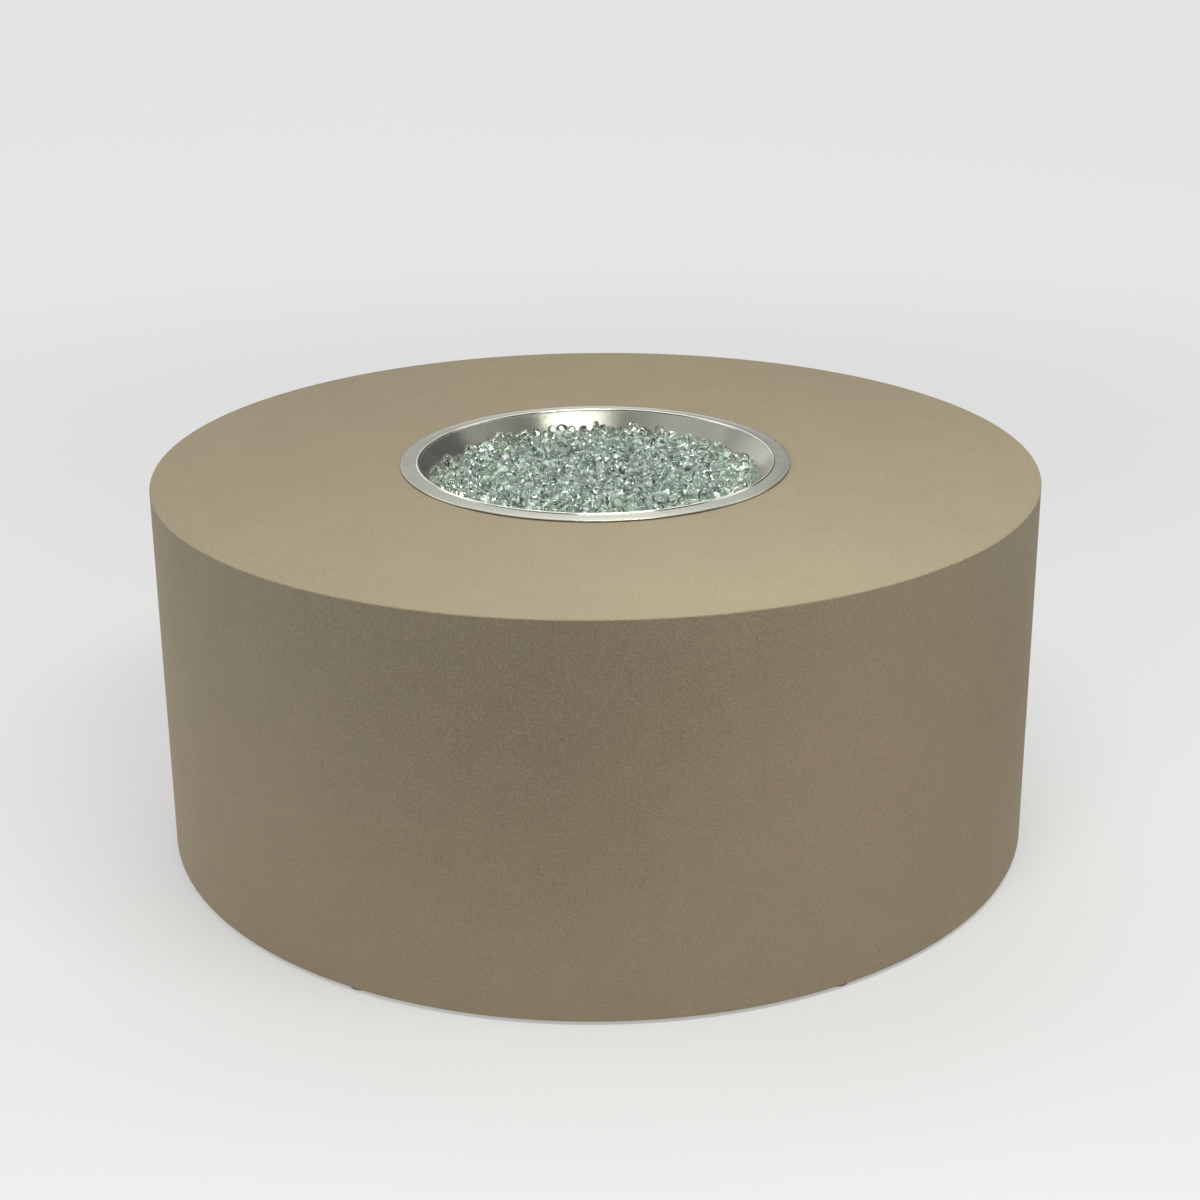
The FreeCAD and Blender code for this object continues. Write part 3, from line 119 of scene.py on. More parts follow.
floor_mesh = bpy.data.meshes.new("floor")
shape = bmesh.new()
bmesh.ops.create_circle(shape, cap_ends=True, segments=FLOOR_SIDES, radius=FLOOR_RADIUS)
shape.to_mesh(floor_mesh)
shape.free()
floor = show(floor_mesh, "floor")
floor_finish, tree, shader = new_finish("floor_white")
place = own_place(tree)
away = add(tree, "ShaderNodeVectorMath", {0: place}, operation="LENGTH").outputs["Value"]
glow = add(tree, "ShaderNodeMapRange", {
    "Value": away, "From Min": GLOW_GROWS[0], "From Max": GLOW_GROWS[1],
    "To Min": FLOOR_GLOW[0], "To Max": FLOOR_GLOW[1]}, interpolation_type="SMOOTHSTEP")
dress(tree, shader, {
    "Emission Strength": glow.outputs["Result"], "Emission Color": PURE_WHITE,
    "Base Color": FLOOR_WHITE, "Roughness": 0.9, "Specular IOR Level": 0.1})
floor_mesh.materials.append(floor_finish)

world = bpy.data.worlds.new("surround")
scene.world = world
world.use_nodes = True
tree = world.node_tree
aim = add(tree, "ShaderNodeTexCoord").outputs["Generated"]
glow = 0.0
for bearing, rise, strength, tightness in PALE_PATCHES.values():
    bearing, rise = math.radians(bearing), math.radians(rise)
    middle = (math.sin(bearing) * math.cos(rise), math.cos(bearing) * math.cos(rise),
              math.sin(rise))
    towards = add(tree, "ShaderNodeVectorMath", {0: aim, 1: middle}, operation="DOT_PRODUCT")
    facing = reckon(tree, "MAXIMUM", towards.outputs["Value"])
    falloff = reckon(tree, "POWER", facing, tightness)
    glow = add(tree, "ShaderNodeMath", {0: falloff, 1: strength, 2: glow},
               operation="MULTIPLY_ADD").outputs[0]
seen = add(tree, "ShaderNodeLightPath").outputs["Is Camera Ray"]
behind = add(tree, "ShaderNodeMix", {0: seen, 2: glow, 3: SKY_SEEN})
dress(tree, tree.nodes["Background"], {"Strength": behind.outputs[0], "Color": PURE_WHITE})

TABLE_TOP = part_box("drum_shell")[1].z
SOFT_LIGHTS = {
    # name: place, target, width, height, watts, colour
    "front_top": ((0.25, -0.8, 2.0), (0.0, -0.2, TABLE_TOP), 1.1, 0.35, 26.0, (0.965, 1.0, 0.93)),
    "front_low": ((0.0, -1.25, 0.18), (0.0, -0.53, 0.10), 1.8, 0.12, 2.2, (1.0, 0.98, 0.96)),
    "left_side": ((-2.6, 0.2, 1.2), (0.0, 0.0, 0.3), 1.6, 1.8, 26.0, (1.0, 1.0, 1.0)),
    "right_side": ((2.6, 0.2, 1.2), (0.0, 0.0, 0.3), 1.6, 1.8, 23.0, (1.0, 1.0, 1.0)),
}
for name, (place, target, width, height, watts, colour) in SOFT_LIGHTS.items():
    lamp = bpy.data.lights.new(name, "AREA")
    lamp.shape = "RECTANGLE"
    lamp.size = width
    lamp.size_y = height
    lamp.energy = watts
    lamp.color = colour
    light = bpy.data.objects.new(name, lamp)
    light.location = place
    light.rotation_euler = (Vector(target) - Vector(place)).to_track_quat("-Z", "Y").to_euler()
    light.visible_camera = False
    scene.collection.objects.link(light)

# Camera, at the place and with the lens that the drum's two rims and the pan's rim fix
CAMERA_BACK = 2.4486
CAMERA_UP = 1.2089
CAMERA_YAW = math.radians(-0.116)
CAMERA_PITCH = math.radians(-19.246)
CAMERA_ROLL = math.radians(0.402)
PICTURE_SIDE = 1200.0
FOCAL_PIXELS = 2099.8
AXIS_ABOVE_CENTRE = 60.0

view = bpy.data.cameras.new("camera")
view.sensor_width = 36.0
view.lens = view.sensor_width * FOCAL_PIXELS / PICTURE_SIDE
view.shift_y = -AXIS_ABOVE_CENTRE / PICTURE_SIDE
camera = bpy.data.objects.new("camera", view)
camera.rotation_euler = (
    Matrix.Rotation(CAMERA_YAW, 3, "Z")
    @ Matrix.Rotation(CAMERA_PITCH, 3, "X")
    @ Matrix.Rotation(CAMERA_ROLL, 3, "Y")
    @ Matrix.Rotation(math.radians(90), 3, "X")
).to_euler()
camera.location = (0.0, -CAMERA_BACK, CAMERA_UP)
scene.collection.objects.link(camera)
scene.camera = camera


# Drum
# Glass-fibre concrete sprayed into a mould in one piece, struck off and sealed matt: a sandy
# taupe with broad mottling, smooth on top and finely pebbled on the side, with pinholes and
# small chips at its edge. Broad paler and darker patches on the top and the side are painted
# light and shade, the side is painted darker under the rim and paler towards the foot, and the
# pinholes are darkened with painted shade. The inside keeps the rough, paler backing coat.
CONCRETE_PALE = (0.2925, 0.2415, 0.1625, 1.0)
CONCRETE_DEEP = (0.2775, 0.2290, 0.1540, 1.0)
CONCRETE_ROSY = (0.2900, 0.2335, 0.1588, 1.0)
CONCRETE_GREENISH = (0.2790, 0.2372, 0.1582, 1.0)
BACKING_COAT = (0.340, 0.300, 0.235, 1.0)
SAND_LIGHT = (0.400, 0.330, 0.222, 1.0)
DARK_SAND_AND_PIT_SHADE = (0.105, 0.086, 0.058, 1.0)
CHIP_PALE = (0.42, 0.37, 0.28, 1.0)
# The side is painted darker under the rim and paler towards the foot: painted shade under the rim
# and painted light bounced up from the floor.
PAINTED_BOUNCE_TOP = 0.42
SIDE_PAINTED_SHADE = (0.905, 0.94, 0.965, 1.0)
SIDE_PAINTED_BOUNCE = (1.14, 1.115, 1.12, 1.0)
# Broad patches of painted shade and painted light on the side: shade at the front under the rim
# and further round to the right, light at the right.
SIDE_PAINTED_LIGHT_AND_SHADE = {
    # name: place on the side, reach, tint
    "painted_shade_front": ((-0.05, -0.53, 0.32), 0.36, (0.855, 0.80, 0.80)),
    "painted_light_right": ((0.28, -0.45, 0.31), 0.36, (1.12, 1.05, 1.00)),
    "painted_shade_right": ((0.48, -0.23, 0.25), 0.36, (0.915, 0.87, 0.85)),
}
# Broad patches of painted light and painted shade on the top, lighter at the front and the rear
# and darker at the left. name: place on the top, reach, tint
TOP_PAINTED_LIGHT_AND_SHADE = {
    "painted_light_front": ((0.20, -0.53, 0.457), 0.43, (1.06, 1.12, 1.09)),
    "painted_light_rear": ((0.0, 0.57, 0.457), 0.45, (1.08, 1.10, 1.04)),
    "painted_shade_left": ((-0.26, -0.07, 0.457), 0.45, (0.96, 0.955, 0.945)),
}
NOISE_SPAN = (0.3, 0.7)
CLOUD_SIZE = 0.06
PATCH_SIZE = 0.022
SAND_SIZE = 0.0026
PEBBLE_SIZE = 0.0042
BACKING_SIZE = 0.011
CHIP_SIZE = 0.008
TOP_FADE = (0.0012, 0.0004)
BACKING_FADE = (0.006, 0.010)
EDGE_WEAR = (0.0035, 0.0004)
PINHOLE_CELLS = 75.0
PINHOLE_REACH = (0.075, 0.045)
PINHOLES_LEFT_OUT = 0.70
CONCRETE_RELIEF = 0.00060
PEBBLES_RISE = 0.75
SAND_RISES = 0.5
BACKING_RISES = 4.0
PINHOLES_SINK = 1.2
CHIPS_SINK = 2.5
TOP_SMOOTHED = 0.40
DRUM_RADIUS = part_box("drum_shell")[1].x
SHELL_WALL = 0.016
BACKING_INSIDE = DRUM_RADIUS - SHELL_WALL


def coat(node_name, material):
    """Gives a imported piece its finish."""
    for slot in nodes[node_name].material_slots:
        slot.material = material


def grain(tree, place, size, detail=2.0, roughness=0.5, strand=0.0):
    """Noise with grains of about one size, in metres; each strand is another such noise."""
    return add(tree, "ShaderNodeTexNoise", {
        "Vector": place, "W": strand, "Scale": 1.0 / size, "Detail": detail,
        "Roughness": roughness}, noise_dimensions="4D").outputs["Fac"]


def spread(tree, source, low, high, to_low=0.0, to_high=1.0):
    """Stretches one range of a value to another and stops at its ends."""
    return add(tree, "ShaderNodeMapRange", {
        "Value": source, "From Min": low, "From Max": high, "To Min": to_low, "To Max": to_high,
    }).outputs["Result"]


def vary(tree, noise, to_low=0.0, to_high=1.0):
    """Stretches the span that most of a noise lies in to a range."""
    return spread(tree, noise, *NOISE_SPAN, to_low, to_high)


def blend_colours(tree, amount, first, second, kind="MIX"):
    """Mixes two colours by an amount."""
    return add(tree, "ShaderNodeMix", {0: amount, 6: first, 7: second},
               data_type="RGBA", blend_type=kind).outputs[2]


def emboss(tree, shader, height, depth, strength=1.0):
    """Raises the surface's shading by a height between 0 and 1, times a depth in metres."""
    bump = add(tree, "ShaderNodeBump", {"Height": height, "Strength": strength, "Distance": depth})
    tree.links.new(bump.outputs["Normal"], shader.inputs["Normal"])


def measure(tree):
    """Object coordinates, and their distance from the drum's axis and height over the floor."""
    place = own_place(tree)
    apart = add(tree, "ShaderNodeSeparateXYZ", {"Vector": place})
    flat = add(tree, "ShaderNodeCombineXYZ", {"X": apart.outputs["X"], "Y": apart.outputs["Y"]})
    away = add(tree, "ShaderNodeVectorMath", {"Vector": flat.outputs[0]}, operation="LENGTH")
    return place, flat.outputs[0], away.outputs["Value"], apart.outputs["Z"]


concrete, tree, shader = new_finish("cast_concrete")
place, flat, away, level = measure(tree)
on_top = spread(tree, level, TABLE_TOP - TOP_FADE[0], TABLE_TOP - TOP_FADE[1])
under_top = spread(tree, level, TABLE_TOP - BACKING_FADE[0], TABLE_TOP - BACKING_FADE[1])
inside = spread(tree, away, BACKING_INSIDE, BACKING_INSIDE - 0.002)
inside = reckon(tree, "MULTIPLY", inside, under_top)
clouds = spread(tree, grain(tree, place, CLOUD_SIZE, 3.0), 0.36, 0.64)
body = blend_colours(tree, clouds, CONCRETE_DEEP, CONCRETE_PALE)
patches = grain(tree, place, PATCH_SIZE, 3.0, strand=4.0)
body = blend_colours(tree, spread(tree, patches, 0.52, 0.66, 0.0, 0.8), body, CONCRETE_ROSY)
body = blend_colours(tree, spread(tree, patches, 0.48, 0.34, 0.0, 0.8), body, CONCRETE_GREENISH)
on_side = reckon(tree, "SUBTRACT", 1.0, on_top)
# Painted shade under the rim and painted floor bounce towards the foot, over the whole side.
bounce_light_and_zinc_bloom = blend_colours(tree, spread(tree, level, PAINTED_BOUNCE_TOP, 0.0), SIDE_PAINTED_SHADE, SIDE_PAINTED_BOUNCE)
body = blend_colours(tree, on_side, body, bounce_light_and_zinc_bloom, "MULTIPLY")
# Broad patches of painted light and painted shade on the side and the top.
for painted_light_patches, where in ((SIDE_PAINTED_LIGHT_AND_SHADE, on_side), (TOP_PAINTED_LIGHT_AND_SHADE, on_top)):
    for middle, reach, painted_light_and_stain in painted_light_patches.values():
        apart = add(tree, "ShaderNodeVectorMath", {0: place, 1: middle}, operation="DISTANCE")
        share = add(tree, "ShaderNodeMapRange", {
            "Value": apart.outputs["Value"], "From Min": reach, "From Max": 0.0},
            interpolation_type="SMOOTHSTEP").outputs["Result"]
        share = reckon(tree, "MULTIPLY", share, where)
        body = blend_colours(tree, share, body, (*painted_light_and_stain, 1.0), "MULTIPLY")
body = blend_colours(tree, inside, body, BACKING_COAT)
sand = grain(tree, place, SAND_SIZE, 3.0, 0.7)
body = blend_colours(tree, spread(tree, sand, 0.5, 0.68, 0.0, 0.42), body, SAND_LIGHT)
body = blend_colours(tree, spread(tree, sand, 0.5, 0.32, 0.0, 0.21), body, DARK_SAND_AND_PIT_SHADE)
specks = add(tree, "ShaderNodeTexVoronoi", {
    "Vector": place, "Scale": PINHOLE_CELLS, "Randomness": 1.0})
rarely = add(tree, "ShaderNodeSeparateColor", {"Color": specks.outputs["Color"]})
chosen = spread(tree, rarely.outputs[0], PINHOLES_LEFT_OUT, PINHOLES_LEFT_OUT + 0.02)
pinhole = spread(tree, specks.outputs["Distance"], *PINHOLE_REACH)
pinhole = reckon(tree, "MULTIPLY", pinhole, chosen)
# The pinholes are darkened: painted shade in the pits.
body = blend_colours(tree, reckon(tree, "MULTIPLY", pinhole, 0.65), body, DARK_SAND_AND_PIT_SHADE)
near_edge = reckon(tree, "MULTIPLY",
                   spread(tree, away, DRUM_RADIUS - EDGE_WEAR[0], DRUM_RADIUS - EDGE_WEAR[1]),
                   spread(tree, level, TABLE_TOP - EDGE_WEAR[0], TABLE_TOP - EDGE_WEAR[1]))
chips = grain(tree, place, CHIP_SIZE, 4.0, 0.7, strand=9.0)
chipped = reckon(tree, "MULTIPLY", near_edge, spread(tree, chips, 0.61, 0.67))
body = blend_colours(tree, chipped, body, CHIP_PALE)
stained = reckon(tree, "MULTIPLY", near_edge, spread(tree, chips, 0.38, 0.32))
body = blend_colours(tree, reckon(tree, "MULTIPLY", stained, 0.6), body, DARK_SAND_AND_PIT_SHADE)
dress(tree, shader, {
    "Base Color": body, "Roughness": vary(tree, sand, 0.80, 0.92), "Specular IOR Level": 0.32})
pebbles = vary(tree, grain(tree, place, PEBBLE_SIZE, 1.5, strand=2.0))
coarse = vary(tree, grain(tree, place, BACKING_SIZE, 2.0, strand=3.0))
side_relief = reckon(tree, "ADD", reckon(tree, "MULTIPLY", pebbles, PEBBLES_RISE),
                     reckon(tree, "MULTIPLY", sand, SAND_RISES))
rough_relief = reckon(tree, "MULTIPLY", reckon(tree, "MULTIPLY", coarse, BACKING_RISES), inside)
top_share = spread(tree, on_top, 0.0, 1.0, 1.0, TOP_SMOOTHED)
relief = reckon(tree, "ADD", reckon(tree, "MULTIPLY", side_relief, top_share), rough_relief)
relief = reckon(tree, "SUBTRACT", relief, reckon(tree, "MULTIPLY", pinhole, PINHOLES_SINK))
relief = reckon(tree, "SUBTRACT", relief, reckon(tree, "MULTIPLY", chipped, CHIPS_SINK))
emboss(tree, shader, relief, CONCRETE_RELIEF, 0.8)
coat("drum_shell", concrete)


# Foot pads
# Six moulded black rubber discs stuck under the foot rim keep the concrete off the paving. The
# mould leaves them finely grained, and some concrete dust sits on them.
RUBBER = (0.028, 0.028, 0.029, 1.0)
RUBBER_DUSTY = (0.090, 0.082, 0.068, 1.0)
rubber, tree, shader = new_finish("pad_rubber")
place = own_place(tree)
dust = spread(tree, grain(tree, place, 0.005, 4.0, 0.7), 0.48, 0.74, 0.0, 0.8)
dress(tree, shader, {"Base Color": blend_colours(tree, dust, RUBBER, RUBBER_DUSTY),
                     "Roughness": spread(tree, dust, 0.0, 0.8, 0.62, 0.9)})
emboss(tree, shader, grain(tree, place, 0.0007, 2.0), 0.0001)
coat("foot_pads", rubber)


# Vent covers
# Laser-cut discs of brushed stainless with five louvre blades bent in behind their slots, one
# over each of the two vent holes. The brushing runs up and down.
COVER_STEEL = (0.56, 0.555, 0.54, 1.0)
COVER_STREAK = (0.43, 0.425, 0.41, 1.0)


def brushed_steel(name, pale, streak, squeeze):
    """Stainless with straight brush lines; squeeze holds the three axes' scales of the lines."""
    material, tree, shader = new_finish(name)
    place = own_place(tree)
    drawn = add(tree, "ShaderNodeMapping", {"Vector": place, "Scale": squeeze}).outputs[0]
    lines = grain(tree, drawn, 0.00035, 3.0, 0.7)
    smudge = grain(tree, place, 0.02, 3.0)
    tone = blend_colours(tree, spread(tree, lines, 0.35, 0.65), streak, pale)
    rough = reckon(tree, "ADD", vary(tree, smudge, 0.24, 0.36), vary(tree, lines, 0.0, 0.08))
    dress(tree, shader, {"Base Color": tone, "Metallic": 1.0, "Roughness": rough})
    emboss(tree, shader, lines, 0.00003)
    return material


cover_steel = brushed_steel("cover_stainless", COVER_STEEL, COVER_STREAK, (1.0, 1.0, 0.02))
coat("vent_cover_left", cover_steel)
coat("vent_cover_right", cover_steel)


# Vent screws
# Eight stainless pan-head screws with a cross recess, four to a cover, driven through it into
# plugs in the concrete. Each stopped at its own angle.
cover_low, cover_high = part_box("vent_cover_right")
screws_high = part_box("vent_screws")[1]
SCREW_HEAD = 0.0036
SCREW_HEAD_HEIGHT = 0.0020
SCREW_SHANK = 0.0019
SCREW_LENGTH = 0.013
SCREW_SEAT = screws_high.x - SCREW_HEAD_HEIGHT
SCREW_CIRCLE = (screws_high.y - SCREW_HEAD) * math.sqrt(2)
VENT_LEVEL = (cover_low.z + cover_high.z) / 2
RECESS_REACH = 0.0021
RECESS_DEPTH = 0.0011
RECESS_ARM = 0.00042
HEAD_SIDES = 48
SCREWS_PER_COVER = 4
SCREW_SEED = 3
SCREW_STEEL = (0.60, 0.60, 0.59, 1.0)
SCREW_STREAK = (0.44, 0.44, 0.43, 1.0)


def screw_profile():
    """Radii and heights of a pan-head screw, from its crown down to its tip."""
    crown = [(r, SCREW_HEAD_HEIGHT * (1.0 - 0.16 * (r / SCREW_HEAD) ** 2))
             for r in (0.0003, 0.0007, 0.0012, 0.0016, RECESS_REACH, 0.0024, 0.0029)]
    brim = [(0.0033, SCREW_HEAD_HEIGHT * 0.80), (SCREW_HEAD, SCREW_HEAD_HEIGHT * 0.52),
            (SCREW_HEAD, 0.0)]
    shank = [(SCREW_SHANK, 0.0), (SCREW_SHANK, 0.002 - SCREW_LENGTH), (0.0004, -SCREW_LENGTH)]
    return crown + brim + shank


def lathe(profile, sides, name, shift=None, closed=False):
    """Turns a profile about Z, from its crown outwards; shift may move each point it makes."""
    shape = bmesh.new()
    rings = []
    for radius, height in profile:
        ring = []
        for i in range(sides):
            angle = 2 * math.pi * i / sides
            drop = shift(radius, angle) if shift else 0.0
            ring.append(shape.verts.new(
                (radius * math.cos(angle), radius * math.sin(angle), height - drop)))
        rings.append(ring)
    for upper, lower in zip(rings, rings[1:] + (rings[:1] if closed else [])):
        for i in range(sides):
            j = (i + 1) % sides
            shape.faces.new((upper[i], lower[i], lower[j], upper[j]))
    if not closed:
        shape.faces.new(rings[0])
        shape.faces.new(rings[-1][::-1])
    mesh = bpy.data.meshes.new(name)
    shape.to_mesh(mesh)
    shape.free()
    return mesh


def cross_recess(radius, angle):
    """How deep a cross-head driver's recess is at a point of the head."""
    arm = abs(math.sin(2 * angle)) * radius / 2
    if radius > RECESS_REACH or arm > RECESS_ARM:
        return 0.0
    return RECESS_DEPTH * (1.0 - radius / (RECESS_REACH * 1.25))


def start_tree(name, wanted, result):
    """A modifier's node tree, the identifiers of its named inputs, and their outlets."""
    group = bpy.data.node_groups.new(name, "GeometryNodeTree")
    group.is_modifier = True
    inputs = {}
    for wish, kind in wanted.items():
        socket = group.interface.new_socket(wish, in_out="INPUT", socket_type="NodeSocket" + kind)
        inputs[wish] = socket.identifier
    group.interface.new_socket(result, in_out="OUTPUT", socket_type="NodeSocketGeometry")
    return group, inputs, group.nodes.new("NodeGroupInput").outputs


def end_tree(group, geometry, finish):
    """Realizes what the tree has made, gives it its finish and hands it out."""
    solid = add(group, "GeometryNodeRealizeInstances", {"Geometry": geometry})
    coated = add(group, "GeometryNodeSetMaterial", {
        "Geometry": solid.outputs[0], "Material": finish})
    group.links.new(coated.outputs[0], group.nodes.new("NodeGroupOutput").inputs[0])


def grow(piece, group, inputs, settings):
    """Runs a node tree on a piece once and returns what it makes as a plain mesh."""
    maker = piece.modifiers.new("maker", "NODES")
    maker.node_group = group
    for name, setting in settings.items():
        maker[inputs[name]] = setting
    evaluated = piece.evaluated_get(bpy.context.evaluated_depsgraph_get())
    made = bpy.data.meshes.new_from_object(evaluated)
    piece.modifiers.clear()
    return made


screw_steel = brushed_steel("screw_steel", SCREW_STEEL, SCREW_STREAK, (1.0, 1.0, 1.0))
screw = show(lathe(screw_profile(), HEAD_SIDES, "one_screw", cross_recess), "vent_cover_screws")

group, inputs, given = start_tree("screws_round_vents", {
    "Screw": "Geometry", "Circle": "Float", "Seat": "Float", "Height": "Float", "Seed": "Int",
    "Finish": "Material"}, "Screws")
circle = add(group, "GeometryNodeMeshCircle", {
    "Vertices": SCREWS_PER_COVER, "Radius": given["Circle"]})
corners = add(group, "GeometryNodeTransform", {
    "Geometry": circle.outputs[0], "Rotation": (0.0, 0.0, math.radians(45))})
turned = add(group, "FunctionNodeRandomValue", {
    "Min": (0.0, 0.0, 0.0), "Max": (0.0, 0.0, math.pi / 2), "Seed": given["Seed"]},
    data_type="FLOAT_VECTOR")
four = add(group, "GeometryNodeInstanceOnPoints", {
    "Points": corners.outputs[0], "Instance": given["Screw"], "Rotation": turned.outputs[0]})
loose = add(group, "GeometryNodeRealizeInstances", {"Geometry": four.outputs[0]})
both = add(group, "GeometryNodeJoinGeometry")
for side in (1.0, -1.0):
    out = add(group, "ShaderNodeMath", {0: given["Seat"], 1: side}, operation="MULTIPLY")
    spot = add(group, "ShaderNodeCombineXYZ", {"X": out.outputs[0], "Z": given["Height"]})
    set_in = add(group, "GeometryNodeTransform", {
        "Geometry": loose.outputs[0], "Translation": spot.outputs[0],
        "Rotation": (0.0, side * math.radians(90), 0.0)})
    group.links.new(set_in.outputs[0], both.inputs[0])
end_tree(group, both.outputs[0], given["Finish"])
screw.data = grow(screw, group, inputs, {
    "Circle": SCREW_CIRCLE, "Seat": SCREW_SEAT, "Height": VENT_LEVEL, "Seed": SCREW_SEED,
    "Finish": screw_steel})
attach(screw, "drum")
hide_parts("vent_screws")


# Burner pan
# Spun from one stainless sheet: a turned-down rim that falls a little towards its edge, a bead
# polished along its top and painted brighter there as a highlight, a sloped wall, and a flat floor
# with a hole for the nipple and four weep holes.
# The tool leaves fine rings about the axis, so highlights fan out along the radius.
PAN_STEEL = (0.555, 0.555, 0.480, 1.0)
PAN_RING = (0.450, 0.450, 0.385, 1.0)
BEAD_POLISH_AND_HIGHLIGHT = (0.86, 0.86, 0.79, 1.0)
PAN_GROOVE = 0.000012
PAN_WAVINESS = 0.0006
pan_low, pan_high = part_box("burner_pan")
PAN_SHEET = 0.0012
PAN_FLOOR = pan_low.z + PAN_SHEET
PAN_FLOOR_RADIUS = 0.160
PAN_FLOOR_BEND = 0.008
RIM_RADIUS = pan_high.x
RIM_RISE = 0.0033
RIM_TOP = TABLE_TOP + RIM_RISE
RIM_DISH = 0.0010
RIM_BEND = 0.0008
WALL_TOP_RADIUS = PAN_FLOOR_RADIUS + RIM_TOP - PAN_FLOOR
BEAD_RADIUS = 0.00175
BEAD_OUT = 0.0013
BEAD_PLACE = (WALL_TOP_RADIUS + BEAD_OUT, pan_high.z - BEAD_RADIUS)
BEAD_SHINE = (0.0002, 0.0007)
BEAD_STEPS = 18
BEAD_FROM, BEAD_TO = math.radians(186.0), math.radians(13.6)
WALL_ROLLS_TO = 0.70
ROLL_STEPS = 8
ROLL_UNDER = 0.0007
TOOL_RIDGES = (0.2304, 0.2333)
RIDGE_HALF = 0.0008
RIDGE_HEIGHT = 0.00020
LIP_SET_BACK = 0.0014
LIP_GAP = 0.0012
NIPPLE_HOLE = 0.01085
WEEP_HOLE = 0.004
WEEP_HOLES = 4
WEEP_CIRCLE = 0.040
DRILL_SIDES = 40
DRILL_LENGTH = 0.01
PAN_SIDES = 256
PAN_CREASE = math.radians(35)


def run(start, end, parts):
    """Points of a straight run of a profile, close together at its ends and even between."""
    shares = [0.0, 0.03] + [k / parts for k in range(1, parts)] + [0.97]
    return [(start[0] + (end[0] - start[0]) * t, start[1] + (end[1] - start[1]) * t)
            for t in shares]


def bend(before, corner, after, radius, steps=8):
    """Points of the arc that rounds a corner of a profile."""
    corner = Vector(corner)
    back = (Vector(before) - corner).normalized()
    on = (Vector(after) - corner).normalized()
    half = back.angle(on) / 2
    middle = corner + (back + on).normalized() * (radius / math.sin(half))
    first = corner + back * (radius / math.tan(half)) - middle
    last = corner + on * (radius / math.tan(half)) - middle
    return [tuple(middle + first.slerp(last, k / steps).normalized() * radius)
            for k in range(steps + 1)]


def pan_profile():
    """The pan's section, from its centre hole over the upper face to the rim and back below."""
    splay = PAN_SHEET * (math.sqrt(2) - 1.0)
    hole = (NIPPLE_HOLE, PAN_FLOOR)
    foot = (PAN_FLOOR_RADIUS, PAN_FLOOR)
    rim = (RIM_RADIUS, RIM_TOP - RIM_DISH)
    edge = (RIM_RADIUS, TABLE_TOP + LIP_GAP)
    tuck = (RIM_RADIUS - LIP_SET_BACK, TABLE_TOP + LIP_GAP - 0.0001)
    lip = (tuck[0], TABLE_TOP)
    lip_inside = (lip[0] - PAN_SHEET, TABLE_TOP)
    rim_inside = (lip_inside[0], RIM_TOP - RIM_DISH - PAN_SHEET)
    wall_under = (WALL_TOP_RADIUS + splay, RIM_TOP - PAN_SHEET)
    foot_under = (PAN_FLOOR_RADIUS + splay, PAN_FLOOR - PAN_SHEET)
    hole_under = (NIPPLE_HOLE, PAN_FLOOR - PAN_SHEET)
    bead = []
    for k in range(BEAD_STEPS + 1):
        angle = BEAD_FROM + (BEAD_TO - BEAD_FROM) * k / BEAD_STEPS
        bead.append((BEAD_PLACE[0] + BEAD_RADIUS * math.cos(angle),
                     BEAD_PLACE[1] + BEAD_RADIUS * math.sin(angle)))
    # The wall's last two millimetres roll over from 45 degrees to a flatter slope under the bead.
    ease = (1.0 - WALL_ROLLS_TO) / 2
    rise = bead[0][1] - bead[0][0] + WALL_TOP_RADIUS - RIM_TOP
    width = -rise / ease
    roll = []
    for k in range(ROLL_STEPS):
        t = k / ROLL_STEPS
        radius = bead[0][0] - width * (1.0 - t)
        roll.append((radius, radius - WALL_TOP_RADIUS + RIM_TOP - width * ease * t * t))
    roll_under = (roll[0][0] + splay + ROLL_UNDER, roll[0][1] - PAN_SHEET + ROLL_UNDER)
    floor_round = bend(hole, foot, roll[0], PAN_FLOOR_BEND)
    rim_round = bend(bead[-1], rim, edge, RIM_BEND)
    flange = []
    for ridge in TOOL_RIDGES:
        for k in range(-4, 5):
            radius = ridge + RIDGE_HALF * k / 4
            share = (radius - bead[-1][0]) / (rim[0] - bead[-1][0])
            lift = RIDGE_HEIGHT * (0.5 + 0.5 * math.cos(math.pi * k / 4))
            flange.append((radius, bead[-1][1] + (rim[1] - bead[-1][1]) * share + lift))
    round_under = bend(roll_under, foot_under, hole_under, PAN_FLOOR_BEND + PAN_SHEET)
    return (run(hole, floor_round[0], 6) + floor_round
            + run(floor_round[-1], roll[0], 8)[1:] + roll
            + bead + run(bead[-1], flange[0], 5)[1:] + flange + rim_round
            + [edge, tuck, lip, lip_inside, rim_inside, (wall_under[0] + PAN_SHEET, wall_under[1])]
            + run(roll_under, round_under[0], 8) + round_under
            + run(round_under[-1], hole_under, 6)[1:] + [hole_under])


steel, tree, shader = new_finish("spun_stainless")
place, flat, away, level = measure(tree)
along_profile = reckon(tree, "ADD", away, level)
turn = add(tree, "ShaderNodeVectorMath", {0: flat, 1: (0.0, 0.0, 1.0)}, operation="CROSS_PRODUCT")
around = add(tree, "ShaderNodeVectorMath", {0: turn.outputs[0]}, operation="NORMALIZE")
rings = add(tree, "ShaderNodeCombineXYZ", {"X": along_profile})
groove = grain(tree, rings.outputs[0], 0.0007, 4.0, 0.7)
smear = grain(tree, place, 0.05, 2.0)
